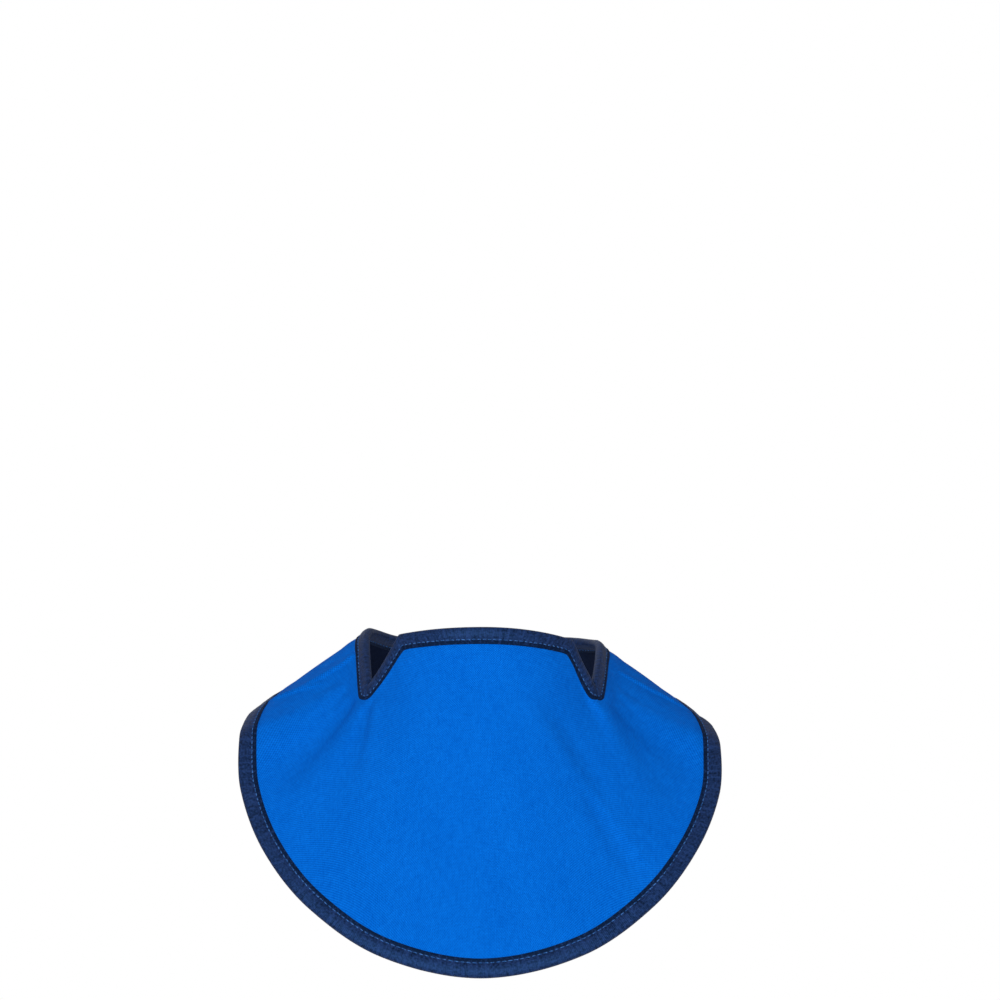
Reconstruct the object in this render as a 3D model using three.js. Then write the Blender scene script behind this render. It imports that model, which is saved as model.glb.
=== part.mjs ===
// Thyroid shield collar, a bib of shielding cloth that closes behind the neck.
// Millimetres. +Z is up, the bib faces -Y and +X is on the viewer's right.
// The origin is the middle of the neck opening, where the collar rests on the shoulders.
import * as THREE from "three";
import { mergeVertices } from "three/addons/utils/BufferGeometryUtils.js";

// The ring is the line round the neck that the cloth hangs from.
const RING_HALF_WIDTH = 61.5;
const RING_HALF_DEPTH = 62;
const RING_SET_BACK = 2;
const RING_FRONT_HEIGHT = 18.2;
const RING_SIDE_HEIGHT = 11;
const RING_BACK_HEIGHT = 9.5;

// The hem is the outer edge, at its widest, foremost, rearmost and lowest.
const HEM_HALF_WIDTH = 127.5;
const HEM_FRONT_DEPTH = 112;
const HEM_BACK_DEPTH = 101;
const HEM_DROP = 159;

// As worn, the hem lies a little to one side and comes back to the middle as it drops.
const HEM_SHIFT = -2.4;
const HEM_LEAN = 0.01;
const SWAY_END_TURN = 270;

// Walls, tapes and the clearance between sewn pieces.
// The tape's fold is flat over a share of the height inside it.
const PANEL_WALL = 2;
const TAPE_WALL = 1;
const NECK_TAPE_WIDTH = 8;
const HEM_TAPE_WIDTH = 8.8;
const SEWN_GAP = 0.3;
const TAPE_FOLD_FLAT = 0.6;

// The throat tab, the notches beside it and the gap between the back ends.
const NOTCH_DEPTH = 28.8;
const WING_TOP_TURN = 98;
const WING_EDGE_BEND = 1.7;
const BACK_GAP = 20;

// The hook-and-loop strip that joins the back ends, clear of the tapes by its margin.
const CLOSURE_MARGIN = 5;
const CLOSURE_OVERLAP = 32;
const CLOSURE_WALL = 1.6;
const CLOSURE_SHARES = [0, 0.25, 0.5, 0.75, 1];

// How the two sides differ as worn: turns in degrees from the front, the rest in millimetres.
const SIDES = {
  left: { sign: -1, tab_turn: 44.8, tab_drop: 1.5, notch_turn: 59, ridge_lift: 3.2 },
  right: { sign: 1, tab_turn: 48.8, tab_drop: 4.1, notch_turn: 57.5, ridge_lift: -3.2 },
};
const RIDGE_TURN = 98;
const RIDGE_SPREAD = 40;

// The neck edge stands up against the neck where the wings begin.
const WING_RISE = 1.7;
const WING_RISE_TURN = 104;
const WING_RISE_SPREAD = 36;

// Ribs run from the ring down to the hem, one row for each turn from the front.
// hem_x is a share of the half width, hem_y of the front or back depth and hem_z of the drop.
// knee_out and knee_down say where the rib bends, as shares of its way out and its way down.
const RIBS = [
  { turn: 0, hem_x: 0, hem_y: -1, hem_z: -1, knee_out: 0.27, knee_down: 0.42 },
  { turn: 24, hem_x: 0.407, hem_y: -0.955, hem_z: -0.932, knee_out: 0.25, knee_down: 0.42 },
  { turn: 44, hem_x: 0.703, hem_y: -0.805, hem_z: -0.781, knee_out: 0.16, knee_down: 0.4 },
  { turn: 60, hem_x: 0.887, hem_y: -0.607, hem_z: -0.609, knee_out: 0.08, knee_down: 0.39 },
  { turn: 74, hem_x: 0.988, hem_y: -0.384, hem_z: -0.427, knee_out: 0.05, knee_down: 0.43 },
  { turn: 84, hem_x: 1, hem_y: -0.196, hem_z: -0.28, knee_out: 0.08, knee_down: 0.43 },
  { turn: 92, hem_x: 0.975, hem_y: -0.027, hem_z: -0.217, knee_out: 0.22, knee_down: 0.41 },
  { turn: 99, hem_x: 0.937, hem_y: 0.099, hem_z: -0.194, knee_out: 0.39, knee_down: 0.39 },
  { turn: 106, hem_x: 0.895, hem_y: 0.218, hem_z: -0.17, knee_out: 0.44, knee_down: 0.38 },
  { turn: 114, hem_x: 0.84, hem_y: 0.337, hem_z: -0.15, knee_out: 0.45, knee_down: 0.41 },
  { turn: 126, hem_x: 0.718, hem_y: 0.574, hem_z: -0.16, knee_out: 0.42, knee_down: 0.47 },
  { turn: 142, hem_x: 0.525, hem_y: 0.792, hem_z: -0.22, knee_out: 0.35, knee_down: 0.5 },
  { turn: 158, hem_x: 0.293, hem_y: 0.941, hem_z: -0.276, knee_out: 0.32, knee_down: 0.5 },
  { turn: 180, hem_x: 0, hem_y: 1, hem_z: -0.31, knee_out: 0.3, knee_down: 0.5 },
];

// Folds run across the cloth between two places, each a turn and a share of the rib.
// rise is how far the cloth lifts, a share of the drop, and spread is the fold's half width.
const FOLDS = [
  { name: "left ridge", turn_a: -73, down_a: 0.42, turn_b: -80, down_b: 0.88, rise: 0.007, spread: 0.07 },
  { name: "left valley", turn_a: -64, down_a: 0.45, turn_b: -71, down_b: 0.82, rise: -0.008, spread: 0.07 },
  { name: "left fan", turn_a: -57, down_a: 0.43, turn_b: -55, down_b: 0.6, rise: 0.005, spread: 0.045 },
  { name: "left wedge", turn_a: -50, down_a: 0.4, turn_b: -46, down_b: 0.5, rise: -0.005, spread: 0.04 },
  { name: "left crease", turn_a: -91, down_a: 0.4, turn_b: -97, down_b: 0.8, rise: 0.004, spread: 0.045 },
  { name: "right ridge", turn_a: 78, down_a: 0.46, turn_b: 78, down_b: 0.88, rise: 0.004, spread: 0.08 },
  { name: "right valley", turn_a: 67, down_a: 0.46, turn_b: 71, down_b: 0.82, rise: -0.006, spread: 0.08 },
  { name: "right throat", turn_a: 44, down_a: 0.34, turn_b: 33, down_b: 0.4, rise: -0.011, spread: 0.11 },
  { name: "right slope", turn_a: 34, down_a: 0.6, turn_b: 45, down_b: 0.88, rise: -0.008, spread: 0.09 },
  { name: "right crease", turn_a: 92, down_a: 0.4, turn_b: 97, down_b: 0.8, rise: 0.004, spread: 0.045 },
];

// Columns of cloth on each stretch of one side's neck edge, and rows from neck to hem.
const TAB_COLUMNS = 9;
const TAB_SIDE_COLUMNS = 5;
const NOTCH_COLUMNS = 6;
const WING_COLUMNS = 12;
const BACK_COLUMNS = 14;
const CLOTH_ROWS = 12;
const END_ROWS = 8;

// Hem turns that the ribs of the neck edge's corners run down to.
const TAB_CORNER_HEM_TURN = 40;
const NOTCH_HEM_TURNS = [51, 66];

const TURN_NUDGE = 0.25;
const DOWN_NUDGE = 0.002;
const SLIDE_STEPS = 4;
const RIB_STEPS = 60;
const MERGE_DISTANCE = 1e-4;
const CORNER_CARE = 1.05;

const radians = THREE.MathUtils.degToRad;
const mix = THREE.MathUtils.lerp;

const fabricBlue = new THREE.MeshStandardMaterial({ color: 0x0a66cf, roughness: 0.8, metalness: 0 });
const tapeNavy = new THREE.MeshStandardMaterial({ color: 0x1e3468, roughness: 0.6, metalness: 0 });
const closureNavy = new THREE.MeshStandardMaterial({ color: 0x15203a, roughness: 0.95, metalness: 0 });

// The table's ribs with a mirrored neighbour before the first and after the last.
const ribRows = [
  { ...RIBS[1], turn: -RIBS[1].turn, hem_x: -RIBS[1].hem_x },
  ...RIBS,
  { ...RIBS.at(-2), turn: 360 - RIBS.at(-2).turn, hem_x: -RIBS.at(-2).hem_x },
];

// One column of the rib table at a turn to either side, as a smooth curve through the rows.
function ribColumn(column, turn) {
  const away = Math.abs(turn);
  let row = 1;
  while (row < ribRows.length - 3 && ribRows[row + 1].turn < away) {
    row += 1;
  }
  const [before, from, to, after] = ribRows.slice(row - 1, row + 3);
  const span = to.turn - from.turn;
  const slopeFrom = (to[column] - before[column]) / (to.turn - before.turn);
  const slopeTo = (after[column] - from[column]) / (after.turn - from.turn);
  const s = (away - from.turn) / span;
  const fromPart = (1 + 2 * s) * (1 - s) ** 2 * from[column] + s * (1 - s) ** 2 * span * slopeFrom;
  const toPart = s * s * (3 - 2 * s) * to[column] + s * s * (s - 1) * span * slopeTo;
  return fromPart + toPart;
}

// A smooth bump of height 1 that fades to 0 at the given spread.
function bump(distance, spread) {
  const share = Math.min(Math.abs(distance) / spread, 1);
  return (1 - share * share) ** 2;
}

// How far a shoulder is lifted at a turn, where the two sides differ.
function ridgeLift(turn) {
  let lift = 0;
  for (const side of Object.values(SIDES)) {
    lift += side.ridge_lift * bump(turn - side.sign * RIDGE_TURN, RIDGE_SPREAD);
  }
  return lift;
}

// The ring's point at a turn.
function ringPoint(turn) {
  const angle = radians(turn);
  const middle = (RING_FRONT_HEIGHT + RING_BACK_HEIGHT) / 2;
  const tilt = (RING_FRONT_HEIGHT - RING_BACK_HEIGHT) / 2;
  const level = middle + tilt * Math.cos(angle) + (RING_SIDE_HEIGHT - middle) * Math.sin(angle) ** 2;
  return new THREE.Vector3(
    RING_HALF_WIDTH * Math.sin(angle),
    RING_SET_BACK - RING_HALF_DEPTH * Math.cos(angle),
    level + ridgeLift(turn) + WING_RISE * bump(Math.abs(turn) - WING_RISE_TURN, WING_RISE_SPREAD),
  );
}

// The hem's point at a turn.
function hemPoint(turn) {
  const depth = ribColumn("hem_y", turn);
  const height = HEM_DROP * ribColumn("hem_z", turn) + ridgeLift(turn);
  const fade = (1 + Math.cos(Math.PI * (turn / SWAY_END_TURN))) / 2;
  const sway = (HEM_SHIFT - HEM_LEAN * height) * fade;
  return new THREE.Vector3(
    HEM_HALF_WIDTH * Math.sign(turn) * ribColumn("hem_x", turn) + sway,
    depth * (depth < 0 ? HEM_FRONT_DEPTH : HEM_BACK_DEPTH),
    height,
  );
}

// The smooth cloth before folds: a rib bends once between the ring and the hem.
function smoothPoint(turn, down) {
  const ring = ringPoint(turn);
  const hem = hemPoint(turn);
  const out = ribColumn("knee_out", turn);
  const knee = new THREE.Vector3(
    mix(ring.x, hem.x, out),
    mix(ring.y, hem.y, out),
    mix(ring.z, hem.z, ribColumn("knee_down", turn)),
  );
  return ring
    .multiplyScalar((1 - down) ** 2)
    .addScaledVector(knee, 2 * down * (1 - down))
    .addScaledVector(hem, down ** 2);
}

// A place on the cloth's flat pattern, where folds are measured.
function flatPlace(turn, down) {
  const reach = RING_HALF_WIDTH + down * ringPoint(turn).distanceTo(hemPoint(turn));
  return new THREE.Vector2(reach * Math.sin(radians(turn)), -reach * Math.cos(radians(turn)));
}

const foldLines = FOLDS.map((fold) => ({
  start: flatPlace(fold.turn_a, fold.down_a),
  end: flatPlace(fold.turn_b, fold.down_b),
  rise: fold.rise * HEM_DROP,
  spread: fold.spread * HEM_DROP,
}));

// How far the folds lift the cloth at a place.
function foldRise(turn, down) {
  const place = flatPlace(turn, down);
  let rise = 0;
  for (const { start, end, rise: height, spread } of foldLines) {
    const run = end.clone().sub(start);
    const offset = place.clone().sub(start);
    const along = offset.dot(run) / run.lengthSq();
    const across = offset.cross(run) / run.length();
    const beyond = Math.max(-along, along - 1, 0) * run.length();
    rise += height * bump(Math.hypot(across, beyond), spread);
  }
  return rise;
}

// The way out of a surface at a place, from small steps over it.
function outwardOf(surface, turn, down) {
  const east = surface(turn + TURN_NUDGE, down).sub(surface(turn - TURN_NUDGE, down));
  const south = surface(turn, down + DOWN_NUDGE).sub(surface(turn, down - DOWN_NUDGE));
  return south.cross(east).normalize();
}

// The cloth's middle surface with its folds.
function clothPoint(turn, down) {
  const rise = foldRise(turn, down);
  const point = smoothPoint(turn, down);
  return rise === 0 ? point : point.addScaledVector(outwardOf(smoothPoint, turn, down), rise);
}

// A place with its point, its outward normal and its two ways over the cloth.
function spotAt({ turn, down }) {
  const east = clothPoint(turn + TURN_NUDGE, down).sub(clothPoint(turn - TURN_NUDGE, down));
  const south = clothPoint(turn, down + DOWN_NUDGE).sub(clothPoint(turn, down - DOWN_NUDGE));
  return {
    turn,
    down,
    point: clothPoint(turn, down),
    east: east.divideScalar(2 * TURN_NUDGE),
    south: south.divideScalar(2 * DOWN_NUDGE),
    out: south.clone().cross(east).normalize(),
  };
}

// The place reached by going a distance over the cloth along a heading.
function slide(from, heading, distance) {
  let place = { turn: from.turn, down: from.down };
  for (let step = 0; step < SLIDE_STEPS; step += 1) {
    const { east, south } = spotAt(place);
    const stride = distance / SLIDE_STEPS;
    const ee = east.lengthSq();
    const es = east.dot(south);
    const ss = south.lengthSq();
    const he = heading.dot(east) * stride;
    const hs = heading.dot(south) * stride;
    const area = ee * ss - es * es;
    place = {
      turn: place.turn + (he * ss - hs * es) / area,
      down: place.down + (hs * ee - he * es) / area,
    };
  }
  return spotAt(place);
}

// Lengths along a rib from the ring, at even shares of it.
function ribReaches(turn) {
  const reaches = [0];
  for (let step = 1; step <= RIB_STEPS; step += 1) {
    const stride = smoothPoint(turn, step / RIB_STEPS).distanceTo(smoothPoint(turn, (step - 1) / RIB_STEPS));
    reaches.push(reaches.at(-1) + stride);
  }
  return reaches;
}

// The whole length of a rib.
function reachOf(turn) {
  return ribReaches(turn).at(-1);
}

// The share of a rib that lies a reach in millimetres below the ring.
function downAt(turn, reach) {
  const reaches = ribReaches(turn);
  const next = Math.max(reaches.findIndex((length) => length >= reach), 1);
  const share = (reach - reaches[next - 1]) / (reaches[next] - reaches[next - 1]);
  return (next - 1 + share) / RIB_STEPS;
}

const END_TURN = 180 - THREE.MathUtils.radToDeg(Math.asin(BACK_GAP / 2 / RING_HALF_WIDTH));

// Stations along one side's neck edge, from the front middle to the back end.
// Each has its place and the turn of the hem that its column of cloth runs down to.
function sideStations({ sign, tab_turn, tab_drop, notch_turn }) {
  const stations = [];
  const add = (turn, reach, hemTurn, corner) => {
    stations.push({ turn: sign * turn, down: downAt(sign * turn, reach), hemTurn: sign * hemTurn, corner });
  };
  for (let step = 0; step < TAB_COLUMNS; step += 1) {
    const share = step / TAB_COLUMNS;
    add(tab_turn * share, tab_drop * share ** 2, TAB_CORNER_HEM_TURN * share);
  }
  const [notchHemFrom, notchHemTo] = NOTCH_HEM_TURNS;
  for (let step = 0; step < TAB_SIDE_COLUMNS; step += 1) {
    const share = step / TAB_SIDE_COLUMNS;
    const hemTurn = mix(TAB_CORNER_HEM_TURN, notchHemFrom, share);
    const reach = mix(tab_drop, NOTCH_DEPTH, share);
    add(mix(tab_turn, notch_turn, share), reach, hemTurn);
  }
  for (let step = 0; step <= NOTCH_COLUMNS; step += 1) {
    const hemTurn = mix(notchHemFrom, notchHemTo, step / NOTCH_COLUMNS);
    add(notch_turn, NOTCH_DEPTH, hemTurn, "fan");
  }
  for (let step = 1; step <= WING_COLUMNS; step += 1) {
    const share = step / WING_COLUMNS;
    const reach = NOTCH_DEPTH * (1 - share) ** WING_EDGE_BEND;
    add(mix(notch_turn, WING_TOP_TURN, share), reach, mix(notchHemTo, WING_TOP_TURN, share));
  }
  for (let step = 1; step <= BACK_COLUMNS; step += 1) {
    const turn = mix(WING_TOP_TURN, END_TURN, step / BACK_COLUMNS);
    add(turn, 0, turn, step === BACK_COLUMNS ? "south" : undefined);
  }
  return stations;
}

// The heading that lies on the cloth square to an edge, into the cloth.
function inward(heading, out) {
  return heading.clone().cross(out).normalize();
}

// Adds to each station of an edge its spot and its headings into and out of the cloth.
// A mitre keeps the tape's width round a corner, and a fan spreads round a notch's foot.
// The end of a tape lies along a way of the cloth, south down a rib or east across them.
function withHeadings(places) {
  const spots = places.map((place) => ({ ...place, ...spotAt(place) }));
  return spots.map((spot, index) => {
    const fan = spots.filter((other) => other.corner === "fan" && other.point.equals(spot.point));
    const previous = spots.slice(0, index).findLast((other) => !other.point.equals(spot.point));
    const next = spots.slice(index + 1).find((other) => !other.point.equals(spot.point));
    const cameFrom = inward(spot.point.clone().sub((previous ?? spot).point), spot.out);
    const goesTo = inward((next ?? spot).point.clone().sub(spot.point), spot.out);
    const before = previous ? cameFrom : goesTo;
    const after = next ? goesTo : cameFrom;
    const middle = before.clone().add(after).normalize();
    const mitred = middle.clone().divideScalar(middle.dot(before));
    if (spot.corner === "south" || spot.corner === "east") {
      const way = spot[spot.corner].clone();
      way.divideScalar(way.dot(before));
      return { ...spot, inward: way, outward: way, shadow: 0 };
    }
    if (fan.length === 0) {
      const closing = before.clone().cross(after).dot(spot.out) < 0;
      const shadow = closing ? Math.tan(before.angleTo(after) / 2) : 0;
      return { ...spot, inward: mitred, outward: mitred, shadow };
    }
    const swing = before.angleTo(after) * (fan.indexOf(spot) / (fan.length - 1));
    const spread = before.clone().applyAxisAngle(before.clone().cross(after).normalize(), swing);
    return { ...spot, inward: spread, outward: mitred, shadow: 0 };
  });
}

// Adds the spot under the tape's sewn edge. Close to a corner, stations share the corner's.
function withSewn(stations, width) {
  const sewn = stations.map((station) => slide(station, station.inward, width));
  return stations.map((station, index) => {
    const shades = (other) =>
      other !== station && other.point.distanceTo(station.point) < other.shadow * width * CORNER_CARE;
    const corner = stations.findIndex(shades);
    return { ...station, sewn: sewn[corner < 0 ? index : corner] };
  });
}

// A named mesh from points and triangles, with shared points merged and empty triangles dropped.
function meshOf(name, material, points, faces) {
  const positions = points.flatMap((point) => [point.x, point.y, point.z]);
  const raw = new THREE.BufferGeometry();
  raw.setAttribute("position", new THREE.Float32BufferAttribute(positions, 3));
  raw.setIndex(faces.flat());
  const merged = mergeVertices(raw, MERGE_DISTANCE);
  const corners = merged.getIndex().array;
  const kept = [];
  for (let at = 0; at < corners.length; at += 3) {
    const [a, b, c] = corners.slice(at, at + 3);
    if (a !== b && b !== c && c !== a) {
      kept.push(a, b, c);
    }
  }
  merged.setIndex(kept);
  merged.computeVertexNormals();
  const mesh = new THREE.Mesh(merged, material);
  mesh.name = name;
  return mesh;
}

// The two triangles of a quad, split from its first corner or from its second.
function quad(a, b, c, d, fromFirst) {
  return fromFirst ? [[a, b, c], [a, c, d]] : [[b, c, d], [b, d, a]];
}

// Whether a stretch between two places is on the right, where quads split the other way.
function onRight(from, to) {
  return from.turn + to.turn > 0;
}

// A thick sheet over a grid of spots, between an outer and an inner height at each column.
function sheetSolid(name, material, grid, outer, inner) {
  const columns = grid.length;
  const rows = grid[0].length;
  const points = [];
  for (const heights of [outer, inner]) {
    grid.forEach((column, index) => {
      const height = heights(index);
      column.forEach((spot) => points.push(spot.point.clone().addScaledVector(spot.out, height)));
    });
  }
  const at = (layer, column, row) => layer * columns * rows + column * rows + row;
  const faces = [];
  for (let i = 0; i + 1 < columns; i += 1) {
    const right = onRight(grid[i][0], grid[i + 1][0]);
    for (let j = 0; j + 1 < rows; j += 1) {
      faces.push(...quad(at(0, i, j), at(0, i, j + 1), at(0, i + 1, j + 1), at(0, i + 1, j), right));
      faces.push(...quad(at(1, i + 1, j), at(1, i + 1, j + 1), at(1, i, j + 1), at(1, i, j), !right));
    }
    const foot = rows - 1;
    faces.push(...quad(at(0, i, 0), at(0, i + 1, 0), at(1, i + 1, 0), at(1, i, 0), right));
    faces.push(...quad(at(0, i + 1, foot), at(0, i, foot), at(1, i, foot), at(1, i + 1, foot), right));
  }
  const last = columns - 1;
  for (let j = 0; j + 1 < rows; j += 1) {
    faces.push(...quad(at(0, 0, j + 1), at(0, 0, j), at(1, 0, j), at(1, 0, j + 1), true));
    faces.push(...quad(at(0, last, j), at(0, last, j + 1), at(1, last, j + 1), at(1, last, j), true));
  }
  return meshOf(name, material, points, faces);
}

const FACE = PANEL_WALL / 2;
const TAPE_INSIDE = FACE + SEWN_GAP;
const TAPE_OUTSIDE = TAPE_INSIDE + TAPE_WALL;

// The folded tape's section: how far over the cloth, 1 at the sewn edge, and how high.
// Past the cloth's edge the reach is negative and in millimetres.
function tapeSection() {
  const lip = -(SEWN_GAP + TAPE_WALL);
  const brow = TAPE_INSIDE * TAPE_FOLD_FLAT;
  return [
    { sewn: true, height: TAPE_OUTSIDE },
    { past: -SEWN_GAP, height: TAPE_OUTSIDE },
    { past: lip, height: brow },
    { past: lip, height: -brow },
    { past: -SEWN_GAP, height: -TAPE_OUTSIDE },
    { sewn: true, height: -TAPE_OUTSIDE },
    { sewn: true, height: -TAPE_INSIDE },
    { past: -SEWN_GAP, height: -TAPE_INSIDE },
    { past: -SEWN_GAP, height: TAPE_INSIDE },
    { sewn: true, height: TAPE_INSIDE },
  ];
}

// A tape folded over an edge of the cloth, along stations with their sewn spots.
function tapeSolid(name, stations, width) {
  const section = tapeSection();
  const points = [];
  for (const station of stations) {
    for (const corner of section) {
      const base = corner.sewn ? station.sewn : station;
      const point = base.point.clone().addScaledVector(base.out, corner.height);
      points.push(corner.sewn ? point : point.addScaledVector(station.outward, corner.past));
    }
  }
  const count = section.length;
  const faces = [];
  for (let i = 0; i + 1 < stations.length; i += 1) {
    const right = onRight(stations[i], stations[i + 1]);
    for (let j = 0; j < count; j += 1) {
      const k = (j + 1) % count;
      const split = right !== Boolean(section[j].sewn);
      const next = (i + 1) * count;
      faces.push(...quad(i * count + j, next + j, next + k, i * count + k, split));
    }
  }
  const outline = section.map(({ sewn, past, height }) => new THREE.Vector2(sewn ? width : past, height));
  const first = (stations.length - 1) * count;
  for (const [a, b, c] of THREE.ShapeUtils.triangulateShape(outline, [])) {
    faces.push([a, b, c], [first + c, first + b, first + a]);
  }
  return meshOf(name, tapeNavy, points, faces);
}

const rightSide = sideStations(SIDES.right);
const leftSide = sideStations(SIDES.left);
const neckPlaces = [...leftSide.slice(1).reverse(), ...rightSide];
const neckEdge = withSewn(withHeadings(neckPlaces), NECK_TAPE_WIDTH);

const hemPlaces = neckPlaces
  .map(({ hemTurn, corner }) => ({ turn: hemTurn, down: 1, corner: corner === "south" ? corner : undefined }))
  .reverse();
const hemEdge = withSewn(withHeadings(hemPlaces), HEM_TAPE_WIDTH).reverse();

// Rows of one column of cloth, from the neck edge under its tape to the hem under its own.
function clothColumn(neck, hem) {
  const from = neck.sewn;
  const to = hem.sewn;
  const column = [neck, from];
  for (let row = 2; row < CLOTH_ROWS - 1; row += 1) {
    const share = (row - 1) / (CLOTH_ROWS - 2);
    column.push(spotAt({ turn: mix(from.turn, to.turn, share), down: mix(from.down, to.down, share) }));
  }
  return [...column, to, hem];
}

const clothGrid = neckEdge.map((neck, index) => clothColumn(neck, hemEdge[index]));

// The ends' stretches of the hem tape, between the neck tape and the hem.
function endPlaces(sign) {
  const turn = sign * END_TURN;
  const top = downAt(turn, NECK_TAPE_WIDTH + 2 * SEWN_GAP);
  const places = [];
  for (let step = 0; step <= END_ROWS; step += 1) {
    places.push({ turn, down: mix(top, 1, step / END_ROWS), corner: step === 0 ? "east" : undefined });
  }
  return places;
}

const hemTapePlaces = [...endPlaces(1), ...hemPlaces.slice(1, -1), ...endPlaces(-1).reverse()];
const hemTapeEdge = withSewn(withHeadings(hemTapePlaces), HEM_TAPE_WIDTH);

// A column of the closure's spots, a distance in from one back end and clear of the tapes.
function closureColumn(sign, distance) {
  return CLOSURE_SHARES.map((share) => {
    const turn = sign * END_TURN;
    const end = spotAt({ turn, down: clearDown(turn, share) });
    const heading = inward(end.south.clone().multiplyScalar(sign), end.out);
    const beside = slide(end, heading, distance);
    return spotAt({ turn: beside.turn, down: clearDown(beside.turn, share) });
  });
}

// The share of a rib at a share of its stretch between the tapes, less the margins.
function clearDown(turn, share) {
  const top = NECK_TAPE_WIDTH + CLOSURE_MARGIN;
  const foot = reachOf(turn) - HEM_TAPE_WIDTH - CLOSURE_MARGIN;
  return downAt(turn, mix(top, foot, share));
}

// The strip that closes the back lies on both ends and steps up over their tapes.
function backClosure() {
  const low = FACE + SEWN_GAP;
  const high = TAPE_OUTSIDE + SEWN_GAP;
  const tapeEdge = HEM_TAPE_WIDTH + SEWN_GAP;
  const rampEdge = tapeEdge + 2 * TAPE_WALL;
  const side = [
    { distance: CLOSURE_OVERLAP, height: low },
    { distance: (CLOSURE_OVERLAP + rampEdge) / 2, height: low },
    { distance: rampEdge, height: low },
    { distance: tapeEdge, height: high },
    { distance: 0, height: high },
  ];
  const middle = CLOSURE_SHARES.map((share) => spotAt({ turn: 180, down: clearDown(180, share) }));
  const grid = [
    ...side.map(({ distance }) => closureColumn(1, distance)),
    middle,
    ...side.map(({ distance }) => closureColumn(-1, distance)).reverse(),
  ];
  const heights = [...side.map(({ height }) => height), high, ...side.map(({ height }) => height).reverse()];
  return sheetSolid(
    "back_closure",
    closureNavy,
    grid,
    (index) => heights[index] + CLOSURE_WALL,
    (index) => heights[index],
  );
}

const collar = new THREE.Group();
collar.add(sheetSolid("shield_panel", fabricBlue, clothGrid, () => FACE, () => -FACE));
collar.add(tapeSolid("neck_binding", neckEdge, NECK_TAPE_WIDTH));
collar.add(tapeSolid("hem_binding", hemTapeEdge, HEM_TAPE_WIDTH));
collar.add(backClosure());

export default collar;
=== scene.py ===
"""Thyroid shield collar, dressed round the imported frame.

The cloth is a blue bib of shielding fabric bound with folded navy tape. Sizes below are in
millimetres, as in the part's source, and every mesh is in metres.
"""
import logging
import math
from collections.abc import Callable, Sequence
from dataclasses import dataclass, field
from enum import Enum

import bpy
import numpy as np
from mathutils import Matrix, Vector


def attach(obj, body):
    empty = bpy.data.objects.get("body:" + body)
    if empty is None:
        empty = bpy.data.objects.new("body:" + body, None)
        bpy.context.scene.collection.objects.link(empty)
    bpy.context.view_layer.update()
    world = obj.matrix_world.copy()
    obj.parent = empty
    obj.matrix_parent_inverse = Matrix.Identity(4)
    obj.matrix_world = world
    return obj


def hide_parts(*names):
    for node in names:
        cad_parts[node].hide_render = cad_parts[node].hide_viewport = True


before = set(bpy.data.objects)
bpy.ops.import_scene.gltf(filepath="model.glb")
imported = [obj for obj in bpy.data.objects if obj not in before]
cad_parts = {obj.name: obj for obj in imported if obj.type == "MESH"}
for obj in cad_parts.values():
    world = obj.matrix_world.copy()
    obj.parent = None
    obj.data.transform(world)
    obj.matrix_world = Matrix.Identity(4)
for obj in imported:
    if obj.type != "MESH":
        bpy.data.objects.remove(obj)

LOG = logging.getLogger("collar")
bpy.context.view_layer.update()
METRE = 1000.0
Array = np.ndarray
Seam = tuple[Array, Array]


class Slot(Enum):
    """The record's material slots."""

    CLOTH = "panel_cloth"
    TAPE = "binding_tape"
    STRIP = "closure_strip"


class Corner(Enum):
    """How a tape turns where two runs of an edge meet."""

    MITRE = "mitre"
    FAN = "fan"


def mix(start: Array | float, end: Array | float, share: Array | float) -> Array | float:
    """Returns the value a share of the way from start to end."""
    return start + (end - start) * share


def bump(distance: Array, spread: float) -> Array:
    """Returns a smooth bump of height 1 that fades to 0 at the given spread."""
    share = np.minimum(np.abs(distance) / spread, 1.0)
    return (1.0 - share**2) ** 2


def dot(a: Array, b: Array) -> Array:
    """Returns the dot product of rows of vectors, with the last axis kept."""
    return np.sum(a * b, axis=-1, keepdims=True)


def unit(vectors: Array) -> Array:
    """Returns rows of vectors at length 1."""
    return vectors / np.linalg.norm(vectors, axis=-1, keepdims=True)


def travelled(points: Array) -> Array:
    """Returns how far along its line each point lies, for one line or for rows of lines."""
    steps = np.linalg.norm(np.diff(points, axis=-2), axis=-1)
    return np.cumsum(np.concatenate([np.zeros_like(steps[..., :1]), steps], axis=-1), axis=-1)


def eased(share: Array) -> Array:
    """Returns shares that leave 0 and reach 1 gently."""
    return share * share * (3.0 - 2.0 * share)


def wander(along: Array, stride: float, seed: int) -> Array:
    """Smooth seeded noise along a line.

    Args:
        along: distances along the line, in millimetres.
        stride: distance between the noise's knots.
        seed: the seed of the random draw.

    Returns:
        One value from about -1 to 1 for each distance.
    """
    count = int(math.ceil(along.max() / stride)) + 3
    knots = np.random.default_rng(seed).uniform(-1.0, 1.0, count)
    place = along / stride
    low = np.floor(place).astype(int)
    share = place - low
    return mix(knots[low], knots[low + 1], eased(share))


def add_object(name: str, data: bpy.types.ID) -> bpy.types.Object:
    """Puts an object that shows the data into the scene, and returns it.

    Args:
        name: the object's name.
        data: its mesh, light or camera.

    Returns:
        The object.
    """
    made = bpy.data.objects.new(name, data)
    bpy.context.scene.collection.objects.link(made)
    return made


# How steeply a crisp fold rises to its crease, where 1 is a straight slope.
CRISPNESS = 1.4


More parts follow.
